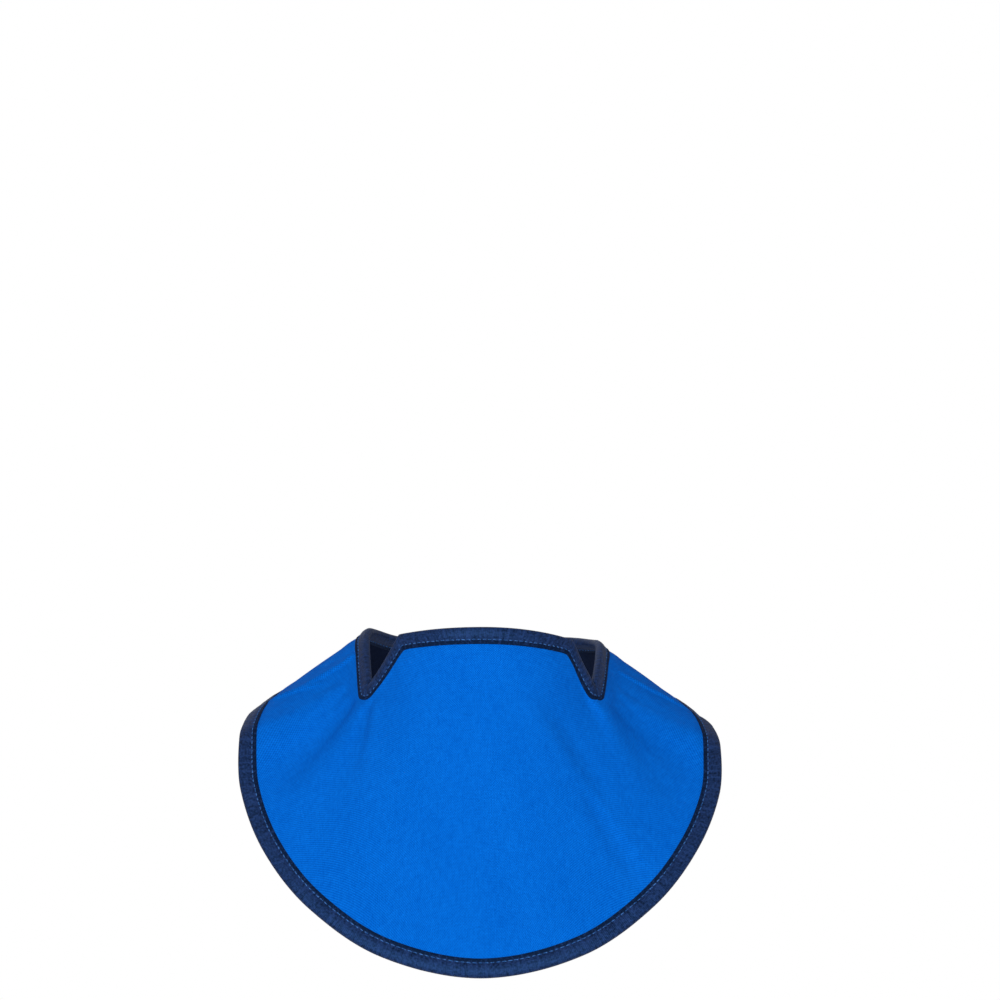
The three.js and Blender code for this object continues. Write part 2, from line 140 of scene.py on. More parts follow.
@dataclass(frozen=True)
class Fold:
    """A fold that runs across the cloth between two places and widens as it goes.

    rise is its lift, spread its half width on the side that lies on its right when seen along
    it, and far_spread the half width on the other side, all in millimetres. A crisp fold is
    creased along its middle.
    """

    turn_a: float
    down_a: float
    turn_b: float
    down_b: float
    rise: float
    spread: float
    far_spread: float
    crisp: bool = False

    def shape(self, across: Array, widening: Array) -> Array:
        """Works out the fold's height across it, as a share of its rise.

        Args:
            across: offsets across the fold, in millimetres.
            widening: factors of its half widths.

        Returns:
            One share for each offset.
        """
        spread = np.where(across < 0.0, self.spread, self.far_spread) * widening
        if self.crisp:
            return np.maximum(1.0 - np.abs(across) / spread, 0.0) ** CRISPNESS
        return bump(across / spread, 1.0)


@dataclass(frozen=True)
class Side:
    """How one side hangs as worn: turns in degrees from the front, the rest in millimetres."""

    sign: int
    tab_turn: float
    tab_drop: float
    notch_turn: float
    ridge_lift: float


SIDES = (Side(-1, 44.8, 1.5, 59.0, 3.2), Side(1, 48.8, 4.1, 57.5, -3.2))

# Turn, hem_x, hem_y, hem_z, knee_out and knee_down of each rib, as in the part's source.
RIBS = (
    (0, 0, -1, -1, 0.27, 0.42),
    (24, 0.407, -0.955, -0.932, 0.25, 0.42),
    (44, 0.703, -0.805, -0.781, 0.16, 0.4),
    (60, 0.887, -0.607, -0.609, 0.08, 0.39),
    (74, 0.988, -0.384, -0.427, 0.05, 0.43),
    (84, 1, -0.196, -0.28, 0.08, 0.43),
    (92, 0.975, -0.027, -0.217, 0.22, 0.41),
    (99, 0.937, 0.099, -0.194, 0.39, 0.39),
    (106, 0.895, 0.218, -0.17, 0.44, 0.38),
    (114, 0.84, 0.337, -0.15, 0.45, 0.41),
    (126, 0.718, 0.574, -0.16, 0.42, 0.47),
    (142, 0.525, 0.792, -0.22, 0.35, 0.5),
    (158, 0.293, 0.941, -0.276, 0.32, 0.5),
    (180, 0, 1, -0.31, 0.3, 0.5),
)

# Two places of each fold, by turn in degrees and share of the way down, its lift and half widths.
FOLDS = (
    Fold(-78, 0.42, -82, 0.91, 1.6, 19.0, 14.0),
    Fold(-66, 0.39, -72, 0.88, -1.6, 22.0, 19.0),
    Fold(-59, 0.38, -61, 0.82, 1.3, 20.0, 22.0),
    Fold(-54, 0.36, -49, 0.61, -1.0, 13.0, 18.0),
    Fold(-50, 0.34, -45, 0.46, 0.8, 12.0, 11.0),
    Fold(-85, 0.27, -90, 0.62, 1.5, 3.0, 12.0, crisp=True),
    Fold(-86, 0.57, -94, 0.84, 1.5, 3.0, 12.0, crisp=True),
    Fold(53, 0.33, 33, 0.41, -3.2, 56.0, 46.0),
    Fold(76, 0.4, 83, 0.91, 1.0, 12.0, 14.0),
    Fold(67, 0.42, 74, 0.87, -0.8, 18.0, 17.0),
    Fold(60, 0.4, 56, 0.82, 1.0, 26.0, 22.0),
    Fold(87, 0.36, 95, 0.82, 1.2, 12.0, 3.0, crisp=True),
    Fold(36, 0.6, 44, 0.92, -1.6, 14.0, 20.0),
)


@dataclass
class ClothSurface:
    """The cloth's middle surface, addressed by a turn in degrees and a share of the way down."""

    ring_half_width: float = 61.5
    ring_half_depth: float = 62.0
    ring_set_back: float = 2.0
    ring_front_height: float = 18.2
    ring_side_height: float = 11.0
    ring_back_height: float = 9.5
    hem_half_width: float = 127.5
    hem_front_depth: float = 112.0
    hem_back_depth: float = 101.0
    hem_drop: float = 159.0
    hem_shift: float = -2.4
    hem_lean: float = 0.01
    sway_end_turn: float = 270.0
    ridge_turn: float = 98.0
    ridge_spread: float = 40.0
    wing_rise: float = 1.7
    wing_rise_turn: float = 104.0
    wing_rise_spread: float = 36.0
    back_gap: float = 20.0
    notch_depth: float = 28.8
    wing_top_turn: float = 98.0
    wing_edge_bend: float = 1.7
    tab_hem_turn: float = 40.0
    foot_hem_turns: tuple[float, float] = (51.0, 66.0)
    fold_start: float = 6.0
    fold_start_fade: float = 11.0
    fold_end_share: float = 0.75
    fold_end_fade: float = 10.0
    fold_growth: tuple[float, float] = (0.7, 1.0)
    fold_widening: tuple[float, float] = (0.5, 1.1)
    broad_swell: float = 0.2
    close_swell: float = 0.06
    turn_nudge: float = 0.25
    down_nudge: float = 0.002
    slide_steps: int = 4
    rib_steps: int = 60
    rows: dict[str, Array] = field(init=False)

    def __post_init__(self) -> None:
        """Lays the rib table out by column, with a mirrored neighbour at each end."""
        table = np.array(RIBS, float)
        first, last = table[1].copy(), table[-2].copy()
        first[:2] *= -1.0
        last[0], last[1] = 360.0 - last[0], -last[1]
        table = np.vstack([first, table, last])
        names = ("turn", "hem_x", "hem_y", "hem_z", "knee_out", "knee_down")
        self.rows = {name: table[:, index] for index, name in enumerate(names)}

    @property
    def end_turn(self) -> float:
        """The turn of the back ends."""
        return 180.0 - math.degrees(math.asin(self.back_gap / 2.0 / self.ring_half_width))

    def column(self, name: str, turn: Array) -> Array:
        """Reads one column of the rib table as a smooth curve through its rows.

        Args:
            name: the column.
            turn: the turns, in degrees from the front.

        Returns:
            One value for each turn.
        """
        turns, values = self.rows["turn"], self.rows[name]
        away = np.abs(turn)
        row = np.clip(np.searchsorted(turns, away) - 1, 1, len(turns) - 3)
        span = turns[row + 1] - turns[row]
        slope_from = (values[row + 1] - values[row - 1]) / (turns[row + 1] - turns[row - 1])
        slope_to = (values[row + 2] - values[row]) / (turns[row + 2] - turns[row])
        s = (away - turns[row]) / span
        start = (1 + 2 * s) * (1 - s) ** 2 * values[row] + s * (1 - s) ** 2 * span * slope_from
        return start + s * s * (3 - 2 * s) * values[row + 1] + s * s * (s - 1) * span * slope_to

    def ridge(self, turn: Array) -> Array:
        """Returns how far each shoulder is lifted at the turns."""
        spread = self.ridge_spread
        return sum(s.ridge_lift * bump(turn - s.sign * self.ridge_turn, spread) for s in SIDES)

    def ring(self, turn: Array) -> Array:
        """Works out the line round the neck.

        Args:
            turn: the turns, in degrees from the front.

        Returns:
            One point for each turn.
        """
        angle = np.radians(turn)
        middle = (self.ring_front_height + self.ring_back_height) / 2.0
        tilt = (self.ring_front_height - self.ring_back_height) / 2.0
        level = middle + tilt * np.cos(angle)
        level = level + (self.ring_side_height - middle) * np.sin(angle) ** 2
        east = self.ring_half_width * np.sin(angle)
        back = self.ring_set_back - self.ring_half_depth * np.cos(angle)
        wing = self.wing_rise * bump(np.abs(turn) - self.wing_rise_turn, self.wing_rise_spread)
        return np.stack([east, back, level + self.ridge(turn) + wing], axis=-1)

    def hem(self, turn: Array) -> Array:
        """Works out the outer edge.

        Args:
            turn: the turns, in degrees from the front.

        Returns:
            One point for each turn.
        """
        depth = self.column("hem_y", turn)
        height = self.hem_drop * self.column("hem_z", turn) + self.ridge(turn)
        fade = (1.0 + np.cos(math.pi * turn / self.sway_end_turn)) / 2.0
        sway = (self.hem_shift - self.hem_lean * height) * fade
        east = self.hem_half_width * np.sign(turn) * self.column("hem_x", turn) + sway
        back = depth * np.where(depth < 0.0, self.hem_front_depth, self.hem_back_depth)
        return np.stack([east, back, height], axis=-1)

    def smooth(self, turn: Array, down: Array) -> Array:
        """The cloth before its folds, where a rib bends once on its way down.

        Args:
            turn: the turns, in degrees from the front.
            down: the shares of the way down.

        Returns:
            One point for each place.
        """
        ring, hem = self.ring(turn), self.hem(turn)
        out = self.column("knee_out", turn)
        shares = np.stack([out, out, self.column("knee_down", turn)], axis=-1)
        knee = mix(ring, hem, shares)
        d = np.asarray(down)[..., None]
        return ring * (1 - d) ** 2 + knee * 2 * d * (1 - d) + hem * d**2

    def flat(self, turn: Array, down: Array) -> Array:
        """Lays places out on the cloth's flat pattern.

        Args:
            turn: the turns, in degrees from the front.
            down: the shares of the way down.

        Returns:
            Places across and up the pattern, in millimetres.
        """
        length = np.linalg.norm(self.ring(turn) - self.hem(turn), axis=-1)
        reach = self.ring_half_width + down * length
        angle = np.radians(turn)
        return np.stack([reach * np.sin(angle), -reach * np.cos(angle)], axis=-1)

    def rise(self, turn: Array, down: Array) -> Array:
        """Works out how far the folds and the cloth's slight unevenness lift it.

        Args:
            turn: the turns, in degrees from the front.
            down: the shares of the way down.

        Returns:
            One height for each place.
        """
        place = self.flat(turn, down)
        lift = self.unevenness(place)
        for fold in FOLDS:
            start = self.flat(np.array(float(fold.turn_a)), np.array(fold.down_a))
            run = self.flat(np.array(float(fold.turn_b)), np.array(fold.down_b)) - start
            length = np.linalg.norm(run)
            offset = place - start
            along = (offset @ run) / length**2
            across = (offset[..., 0] * run[1] - offset[..., 1] * run[0]) / length
            shift = np.clip(along, 0.0, 1.0)
            fade = bump(np.minimum(along * length - self.fold_start, 0.0), self.fold_start_fade)
            tail = 1.0 - self.fold_end_share + self.fold_end_fade / length
            fade = fade * bump(np.maximum(along - self.fold_end_share, 0.0), tail)
            height = fold.rise * mix(*self.fold_growth, shift) * fade
            lift = lift + height * fold.shape(across, mix(*self.fold_widening, shift))
        return lift

    def unevenness(self, place: Array) -> Array:
        """The small swells that a laminated cloth keeps.

        Args:
            place: places on the flat pattern.

        Returns:
            One height for each place.
        """
        x, y = place[..., 0], place[..., 1]
        broad = np.sin(x / 17.0 + 1.3 * np.sin(y / 31.0)) * np.sin(y / 23.0 + 0.8)
        close = np.sin(x / 7.1 + y / 11.0 + 2.0) * np.sin(y / 8.3 - x / 19.0)
        return self.broad_swell * broad + self.close_swell * close

    def point(self, turn: Array, down: Array) -> Array:
        """The cloth's middle surface with its folds.

        Args:
            turn: the turns, in degrees from the front.
            down: the shares of the way down.

        Returns:
            One point for each place.
        """
        turn, down = np.asarray(turn, float), np.asarray(down, float)
        lift = self.rise(turn, down)[..., None]
        return self.smooth(turn, down) + self.ways(self.smooth, turn, down)[2] * lift

    def ways(self, surface: Callable, turn: Array, down: Array) -> tuple[Array, Array, Array]:
        """The ways over a surface and out of it.

        Args:
            surface: a function of turns and shares that returns points.
            turn: the turns of the places.
            down: the shares of the way down of the places.

        Returns:
            The steps east for each degree, the steps south for each share and the unit normals.
        """
        east = surface(turn + self.turn_nudge, down) - surface(turn - self.turn_nudge, down)
        south = surface(turn, down + self.down_nudge) - surface(turn, down - self.down_nudge)
        east, south = east / (2 * self.turn_nudge), south / (2 * self.down_nudge)
        return east, south, unit(np.cross(south, east))

    def out(self, turn: Array, down: Array) -> Array:
        """Returns the unit normals out of the folded cloth."""
        return self.ways(self.point, turn, down)[2]

    def line(self, place: Array) -> Array:
        """Returns the points of the cloth at rows of places."""
        return self.point(*place.T)

    def faced(self, place: Array) -> tuple[Array, Array]:
        """Returns the points of the cloth at rows of places, and its unit normals there."""
        return self.point(*place.T), self.out(*place.T)

    def slide(self, place: Array, heading: Array, distance: Array | float) -> Array:
        """Goes a distance over the cloth along a heading.

        Args:
            place: rows of turn and share down.
            heading: rows of directions in space that lie on the cloth.
            distance: how far to go, one for all rows or one each.

        Returns:
            The rows of places reached.
        """
        place = np.array(place, float)
        stride = np.asarray(distance, float)[..., None] / self.slide_steps
        for _ in range(self.slide_steps):
            east, south, _out = self.ways(self.point, place[:, 0], place[:, 1])
            ee, es, ss = dot(east, east), dot(east, south), dot(south, south)
            he, hs = dot(heading, east) * stride, dot(heading, south) * stride
            step = np.concatenate([he * ss - hs * es, hs * ee - he * es], axis=1)
            place = place + step / (ee * ss - es * es)
        return place

    def rib_reaches(self, turn: Array) -> Array:
        """Returns how far below the ring each step down the ribs at the turns lies."""
        shares = np.linspace(0.0, 1.0, self.rib_steps + 1)
        return travelled(self.smooth(turn[:, None] + 0.0 * shares, shares + 0.0 * turn[:, None]))

    def down_at(self, turn: Array, reach: Array | float) -> Array:
        """Finds places by their distance below the ring.

        Args:
            turn: the turns, in degrees from the front.
            reach: the distances down the ribs, in millimetres.

        Returns:
            One share of the way down for each turn.
        """
        turn = np.atleast_1d(np.asarray(turn, float))
        shares = np.linspace(0.0, 1.0, self.rib_steps + 1)
        goals = np.broadcast_to(np.asarray(reach, float), turn.shape)
        rows = zip(goals, self.rib_reaches(turn))
        return np.array([np.interp(goal, row, shares) for goal, row in rows])

    def rib_lengths(self, turn: Array) -> Array:
        """Returns the whole lengths of ribs."""
        return self.rib_reaches(turn)[:, -1]

    def side_runs(self, side: Side, counts: Sequence[int]) -> list[Array]:
        """The runs of one side's neck edge, from the front middle to the back end.

        Args:
            side: which side, with its turns and drops.
            counts: the steps on the tab, the tab's side, the notch, the wing and the back.

        Returns:
            For each run its rows of turn, share down and the turn of the hem below.
        """
        tab, slope, notch, wing, back = (np.linspace(0.0, 1.0, count + 1) for count in counts)
        top, end, depth = self.wing_top_turn, self.end_turn, self.notch_depth
        tab_hem, (foot_start, foot_end) = self.tab_hem_turn, self.foot_hem_turns
        laid = (
            (side.tab_turn * tab, side.tab_drop * tab**2, tab_hem * tab),
            (
                mix(side.tab_turn, side.notch_turn, slope),
                mix(side.tab_drop, depth, slope),
                mix(tab_hem, foot_start, slope),
            ),
            (side.notch_turn + 0.0 * notch, depth + 0.0 * notch, mix(foot_start, foot_end, notch)),
            (
                mix(side.notch_turn, top, wing),
                depth * (1.0 - wing) ** self.wing_edge_bend,
                mix(foot_end, top, wing),
            ),
            (mix(top, end, back), 0.0 * back, mix(top, end, back)),
        )
        runs = []
        for turn, reach, hem_turn in laid:
            down = self.down_at(side.sign * turn, reach)
            runs.append(np.stack([side.sign * turn, down, side.sign * hem_turn], axis=1))
        return runs


@dataclass
class PieceMesh:
    """Rows of points and faces that become one Blender piece."""

    name: str
    points: Array
    faces: list[Sequence[int]]
    places: Array
    materials: list[bpy.types.Material]
    face_material: list[int] | None = None

    def build(self) -> bpy.types.Object:
        """Makes the object, with its places on the pattern as the UV map that the cloth reads.

        Returns:
            The object, linked to the scene.
        """
        mesh = bpy.data.meshes.new(self.name)
        mesh.from_pydata((self.points / METRE).tolist(), [], self.faces)
        layer = mesh.uv_layers.new(name="pattern")
        corners = np.empty(len(mesh.loops), np.int32)
        mesh.loops.foreach_get("vertex_index", corners)
        layer.data.foreach_set("uv", (self.places[corners] / METRE).astype(np.float32).ravel())
        for material in self.materials:
            mesh.materials.append(material)
        if self.face_material is not None:
            mesh.polygons.foreach_set("material_index", self.face_material)
        mesh.polygons.foreach_set("use_smooth", [True] * len(mesh.polygons))
        mesh.validate()
        mesh.update()
        return add_object(self.name, mesh)


def grid_faces(columns: int, rows: int, start: int, flip: bool) -> list[tuple[int, ...]]:
    """Faces over a grid of points stored column by column.

    Args:
        columns: how many columns of points.
        rows: how many points in each column.
        start: the first point's index.
        flip: whether the faces look the other way.

    Returns:
        The quads, which look out of the cloth unless they are flipped.
    """
    faces = []
    for i in range(columns - 1):
        for j in range(rows - 1):
            a = start + i * rows + j
            quad = (a, a + 1, a + rows + 1, a + rows)
            faces.append(quad[::-1] if flip else quad)
    return faces


def shell_faces(columns: int, rows: int) -> list[tuple[int, ...]]:
    """Faces of a closed shell: an outer grid, the inner grid after it and the rim.

    Args:
        columns: how many columns of points each grid has.
        rows: how many points in each column.

    Returns:
        The quads, which look out of the shell.
    """
    rim = [i * rows for i in range(columns)]
    rim += [(columns - 1) * rows + j for j in range(1, rows)]
    rim += [i * rows + rows - 1 for i in range(columns - 2, -1, -1)]
    rim += [j for j in range(rows - 2, 0, -1)]
    under = columns * rows
    faces = grid_faces(columns, rows, 0, False) + grid_faces(columns, rows, under, True)
    return faces + [(a, b, b + under, a + under) for a, b in zip(rim, rim[1:] + rim[:1])]


class Value:
    """A shader socket whose operators add Math nodes."""

    def __init__(self, shader: "Shader", socket: bpy.types.NodeSocket) -> None:
        """Keeps the socket and the shader that its nodes go into."""
        self.shader = shader
        self.socket = socket

    def math(self, operation: str, *values: "Value | float") -> "Value":
        """Returns the result of one Math node on this value and the others."""
        sockets = dict(enumerate((self, *values)))
        return self.shader.node("ShaderNodeMath", {"operation": operation}, sockets)

    def __add__(self, other: "Value | float") -> "Value":
        """Adds."""
        return self.math("ADD", other)

    def __sub__(self, other: "Value | float") -> "Value":
        """Subtracts."""
        return self.math("SUBTRACT", other)

    def __rsub__(self, other: float) -> "Value":
        """Subtracts this value from a number."""
        return self.math("MULTIPLY", -1.0).math("ADD", other)

    def __mul__(self, other: "Value | float") -> "Value":
        """Multiplies."""
        return self.math("MULTIPLY", other)

    __radd__ = __add__
    __rmul__ = __mul__

    def ripple(self, length: float) -> "Value":
        """Returns a sine wave over this distance, of the given length."""
        return (self * (2.0 * math.pi / length)).math("SINE")

    def about(self, reach: float) -> "Value":
        """Returns this noise less its middle, times a reach."""
        return (self - 0.5) * reach

    def over(self, low: float, high: float) -> "Value":
        """Returns this value's smooth step from 0 at low to 1 at high."""
        settings = {"interpolation_type": "SMOOTHSTEP"}
        return self.shader.node("ShaderNodeMapRange", settings, {"Value": self, 1: low, 2: high})


class Shader:
    """One material under construction, with a Principled shader."""

    def __init__(
        self, name: str, tint: Sequence[float] = (1.0, 1.0, 1.0), **constants: float
    ) -> None:
        """Makes the material and sets the shader's constant sockets.

        Args:
            name: the material's name.
            tint: the colour of its gloss.
            constants: numbers for the shader's sockets, named with underscores.
        """
        self.material = bpy.data.materials.new(name)
        self.material.use_nodes = True
        self.tree = self.material.node_tree
        self.surface = self.tree.nodes["Principled BSDF"]
        self.surface.inputs["Specular Tint"].default_value = (*tint, 1.0)
        for socket, value in constants.items():
            self.surface.inputs[socket.replace("_", " ")].default_value = value

    def node(
        self,
        kind: str,
        settings: dict[str, object] | None = None,
        sockets: dict[str | int, object] | None = None,
        output: str | int = 0,
    ) -> Value:
        """Adds a node.

        Args:
            kind: the node's type.
            settings: the node's own properties, set first.
            sockets: values or links of its inputs, by name or index.
            output: which output to return.

        Returns:
            The output as a value.
        """
        node = self.tree.nodes.new(kind)
        for key, setting in (settings or {}).items():
            setattr(node, key, setting)
        for key, value in (sockets or {}).items():
            self.set(node.inputs[key], value)
        return Value(self, node.outputs[output])

    def set(self, socket: bpy.types.NodeSocket, value: object) -> None:
        """Links a value to a socket, or sets a number or colour on it.

        Args:
            socket: the socket.
            value: what it gets.
        """
        if isinstance(value, Value):
            self.tree.links.new(value.socket, socket)
        else:
            socket.default_value = value

    def feed(self, name: str, value: Value) -> None:
        """Links a value to one of the Principled shader's inputs."""
        self.set(self.surface.inputs[name], value)

    def place(self) -> tuple[Value, Value]:
        """Reads the place on the piece's own pattern.

        Returns:
            The metres across and the metres down.
        """
        pattern = self.node("ShaderNodeUVMap", {"uv_map": "pattern"})
        parts = self.node("ShaderNodeSeparateXYZ", None, {0: pattern})
        return parts, Value(self, parts.socket.node.outputs[1])

    def noise(self, x: Value, y: Value, scale: tuple[float, float], detail: float = 2.0) -> Value:
        """Adds noise over a place.

        Args:
            x: the place across.
            y: the place down.
            scale: the noise's scale each way, for a metre.
            detail: its detail.

        Returns:
            The noise, from 0 to 1.
        """
        vector = self.node("ShaderNodeCombineXYZ", None, {0: x * scale[0], 1: y * scale[1]})
        sockets = {"Vector": vector, "Scale": 1.0, "Detail": detail}
        return self.node("ShaderNodeTexNoise", None, sockets)

    def blend(self, low: Sequence[float], high: Sequence[float], share: Value) -> Value:
        """Returns a colour between two, by a share."""
        sockets = {0: share, 6: (*low, 1.0), 7: (*high, 1.0)}
        return self.node("ShaderNodeMix", {"data_type": "RGBA"}, sockets, 2)

    def relief(self, height: Value, distance: float, strength: float = 1.0) -> None:
        """Feeds a bump of the given depth in metres to the shader."""
        sockets = {"Height": height, "Distance": distance, "Strength": strength}
        self.feed("Normal", self.node("ShaderNodeBump", None, sockets))


@dataclass(frozen=True)
class Finish:
    """A finish that shades from a deep colour to a bright one."""

    name: str
    deep: tuple[float, float, float]
    bright: tuple[float, float, float]

    def paint(self, shader: Shader, share: Value) -> None:
        """Feeds the colour to a shader, deep where the share is 0 and bright where it is 1."""
        shader.feed("Base Color", shader.blend(self.deep, self.bright, share))


@dataclass(frozen=True)
class ShieldCloth(Finish):
    """Plain-woven cloth over a shielding core. Its weave and its depth are in metres."""

    weave: float = 0.0015
    depth: float = 0.00012
    roughness: float = 0.8
    gloss: tuple[float, float, float] = (0.0, 0.35, 1.0)

    def material(self) -> bpy.types.Material:
        """Builds the woven finish with slubs and a little unevenness of dye.

        Returns:
            The material.
        """
        shader = Shader(self.name, self.gloss, Specular_IOR_Level=0.06)
        x, y = shader.place()
        threads = x.ripple(self.weave) * y.ripple(self.weave)
        slubs = shader.noise(x, y, (1100.0, 130.0))
        picks = shader.noise(x, y, (120.0, 1100.0))
        cloud = shader.noise(x, y, (28.0, 24.0), 3.0)
        mottle = shader.noise(x, y, (260.0, 200.0), 3.0)
        share = 0.5 + threads * 0.65 + slubs.about(0.8) + picks.about(0.8)
        self.paint(shader, share + cloud.about(0.5) + mottle.about(0.6))
        shader.feed("Roughness", self.roughness - threads * 0.05 + mottle.about(0.1))
        shader.relief(threads * 0.5 + slubs * 0.7 + picks * 0.4, self.depth)
        return shader.material


@dataclass(frozen=True)
class BindingTape(Finish):
    """Folded satin tape with fine ribs across it, and painted shade darkening the band from its
    stitches to its sewn edge, where it meets the cloth.

    Its width and the insets where the painted shade starts and ends are in millimetres, and its rib
    and its depth in metres.
    """

    width: float
    # Insets from the tape's width where its painted shade starts and where it is full.
    painted_shade_band: tuple[float, float] = (2.7, 1.5)
    rib: float = 0.0009
    depth: float = 0.00012
    roughness: float = 0.5
    gloss: tuple[float, float, float] = (0.12, 0.38, 1.0)

    def material(self) -> bpy.types.Material:
        """Builds the tape's finish from its run along the edge and its reach across.

        Returns:
            The material.
        """
        shader = Shader(self.name, self.gloss, Specular_IOR_Level=0.55)
        along, across = shader.place()
        ribs = along.ripple(self.rib)
        # This fine noise is partly the tape's grain and partly painted highlight, the speckled
        # glints of the satin.
        grain_and_glints = shader.noise(along, across, (800.0, 800.0), 3.0)
        streaks = shader.noise(along, across, (420.0, 60.0), 3.0)
        # The band between the stitches and the sewn edge is darkened with painted shade for the
        # groove along the cloth, and made rougher.
        painted_shade_band = across.over(*((self.width - inset) / METRE for inset in self.painted_shade_band))
        share = 0.56 + ribs * 0.08 + grain_and_glints.about(2.6) + streaks.about(1.6) - painted_shade_band * 0.55
        self.paint(shader, share)
        shader.feed("Roughness", self.roughness + streaks.about(0.3) + painted_shade_band * 0.3)
        shader.relief(ribs * 0.25 + grain_and_glints * 0.8 + streaks * 1.2, self.depth)
        return shader.material


@dataclass(frozen=True)
class SewingThread(Finish):
    """Twisted sewing thread."""

    depth: float = 0.00008
    gloss: tuple[float, float, float] = (0.2, 0.5, 1.0)

    def material(self) -> bpy.types.Material:
        """Builds the thread's finish, where each stitch catches the light differently.

        Returns:
            The material.
        """
        shader = Shader(self.name, self.gloss, Specular_IOR_Level=0.35, Roughness=0.5)
        place = shader.node("ShaderNodeTexCoord", None, None, "Object")
        sockets = {"Vector": place, "Scale": 900.0, "Detail": 2.0}
        tone = shader.node("ShaderNodeTexNoise", None, sockets)
        self.paint(shader, tone.over(0.35, 0.65))
        shader.relief(tone, self.depth)
        return shader.material


@dataclass(frozen=True)
class LoopStrip(Finish):
    """The brushed back of a hook-and-loop strip. Its stitch and its depth are in metres."""

    stitch: tuple[float, float] = (0.0013, 0.0017)
    depth: float = 0.0003
    roughness: float = 0.85

    def material(self) -> bpy.types.Material:
        """Builds a dull brushed face with small knitted rows.

        Returns:
            The material.
        """
        shader = Shader(self.name, Sheen_Weight=0.3, Sheen_Roughness=0.6, Specular_IOR_Level=0.2)
        x, y = shader.place()
        fuzz = shader.noise(x, y, (2200.0, 2200.0), 4.0)
        knit = x.ripple(self.stitch[0]) * y.ripple(self.stitch[1])
        self.paint(shader, 0.45 + knit * 0.2 + fuzz.about(1.4))
        shader.feed("Roughness", self.roughness + fuzz.about(0.2))
        shader.relief(knit * 0.5 + fuzz, self.depth)
        return shader.material


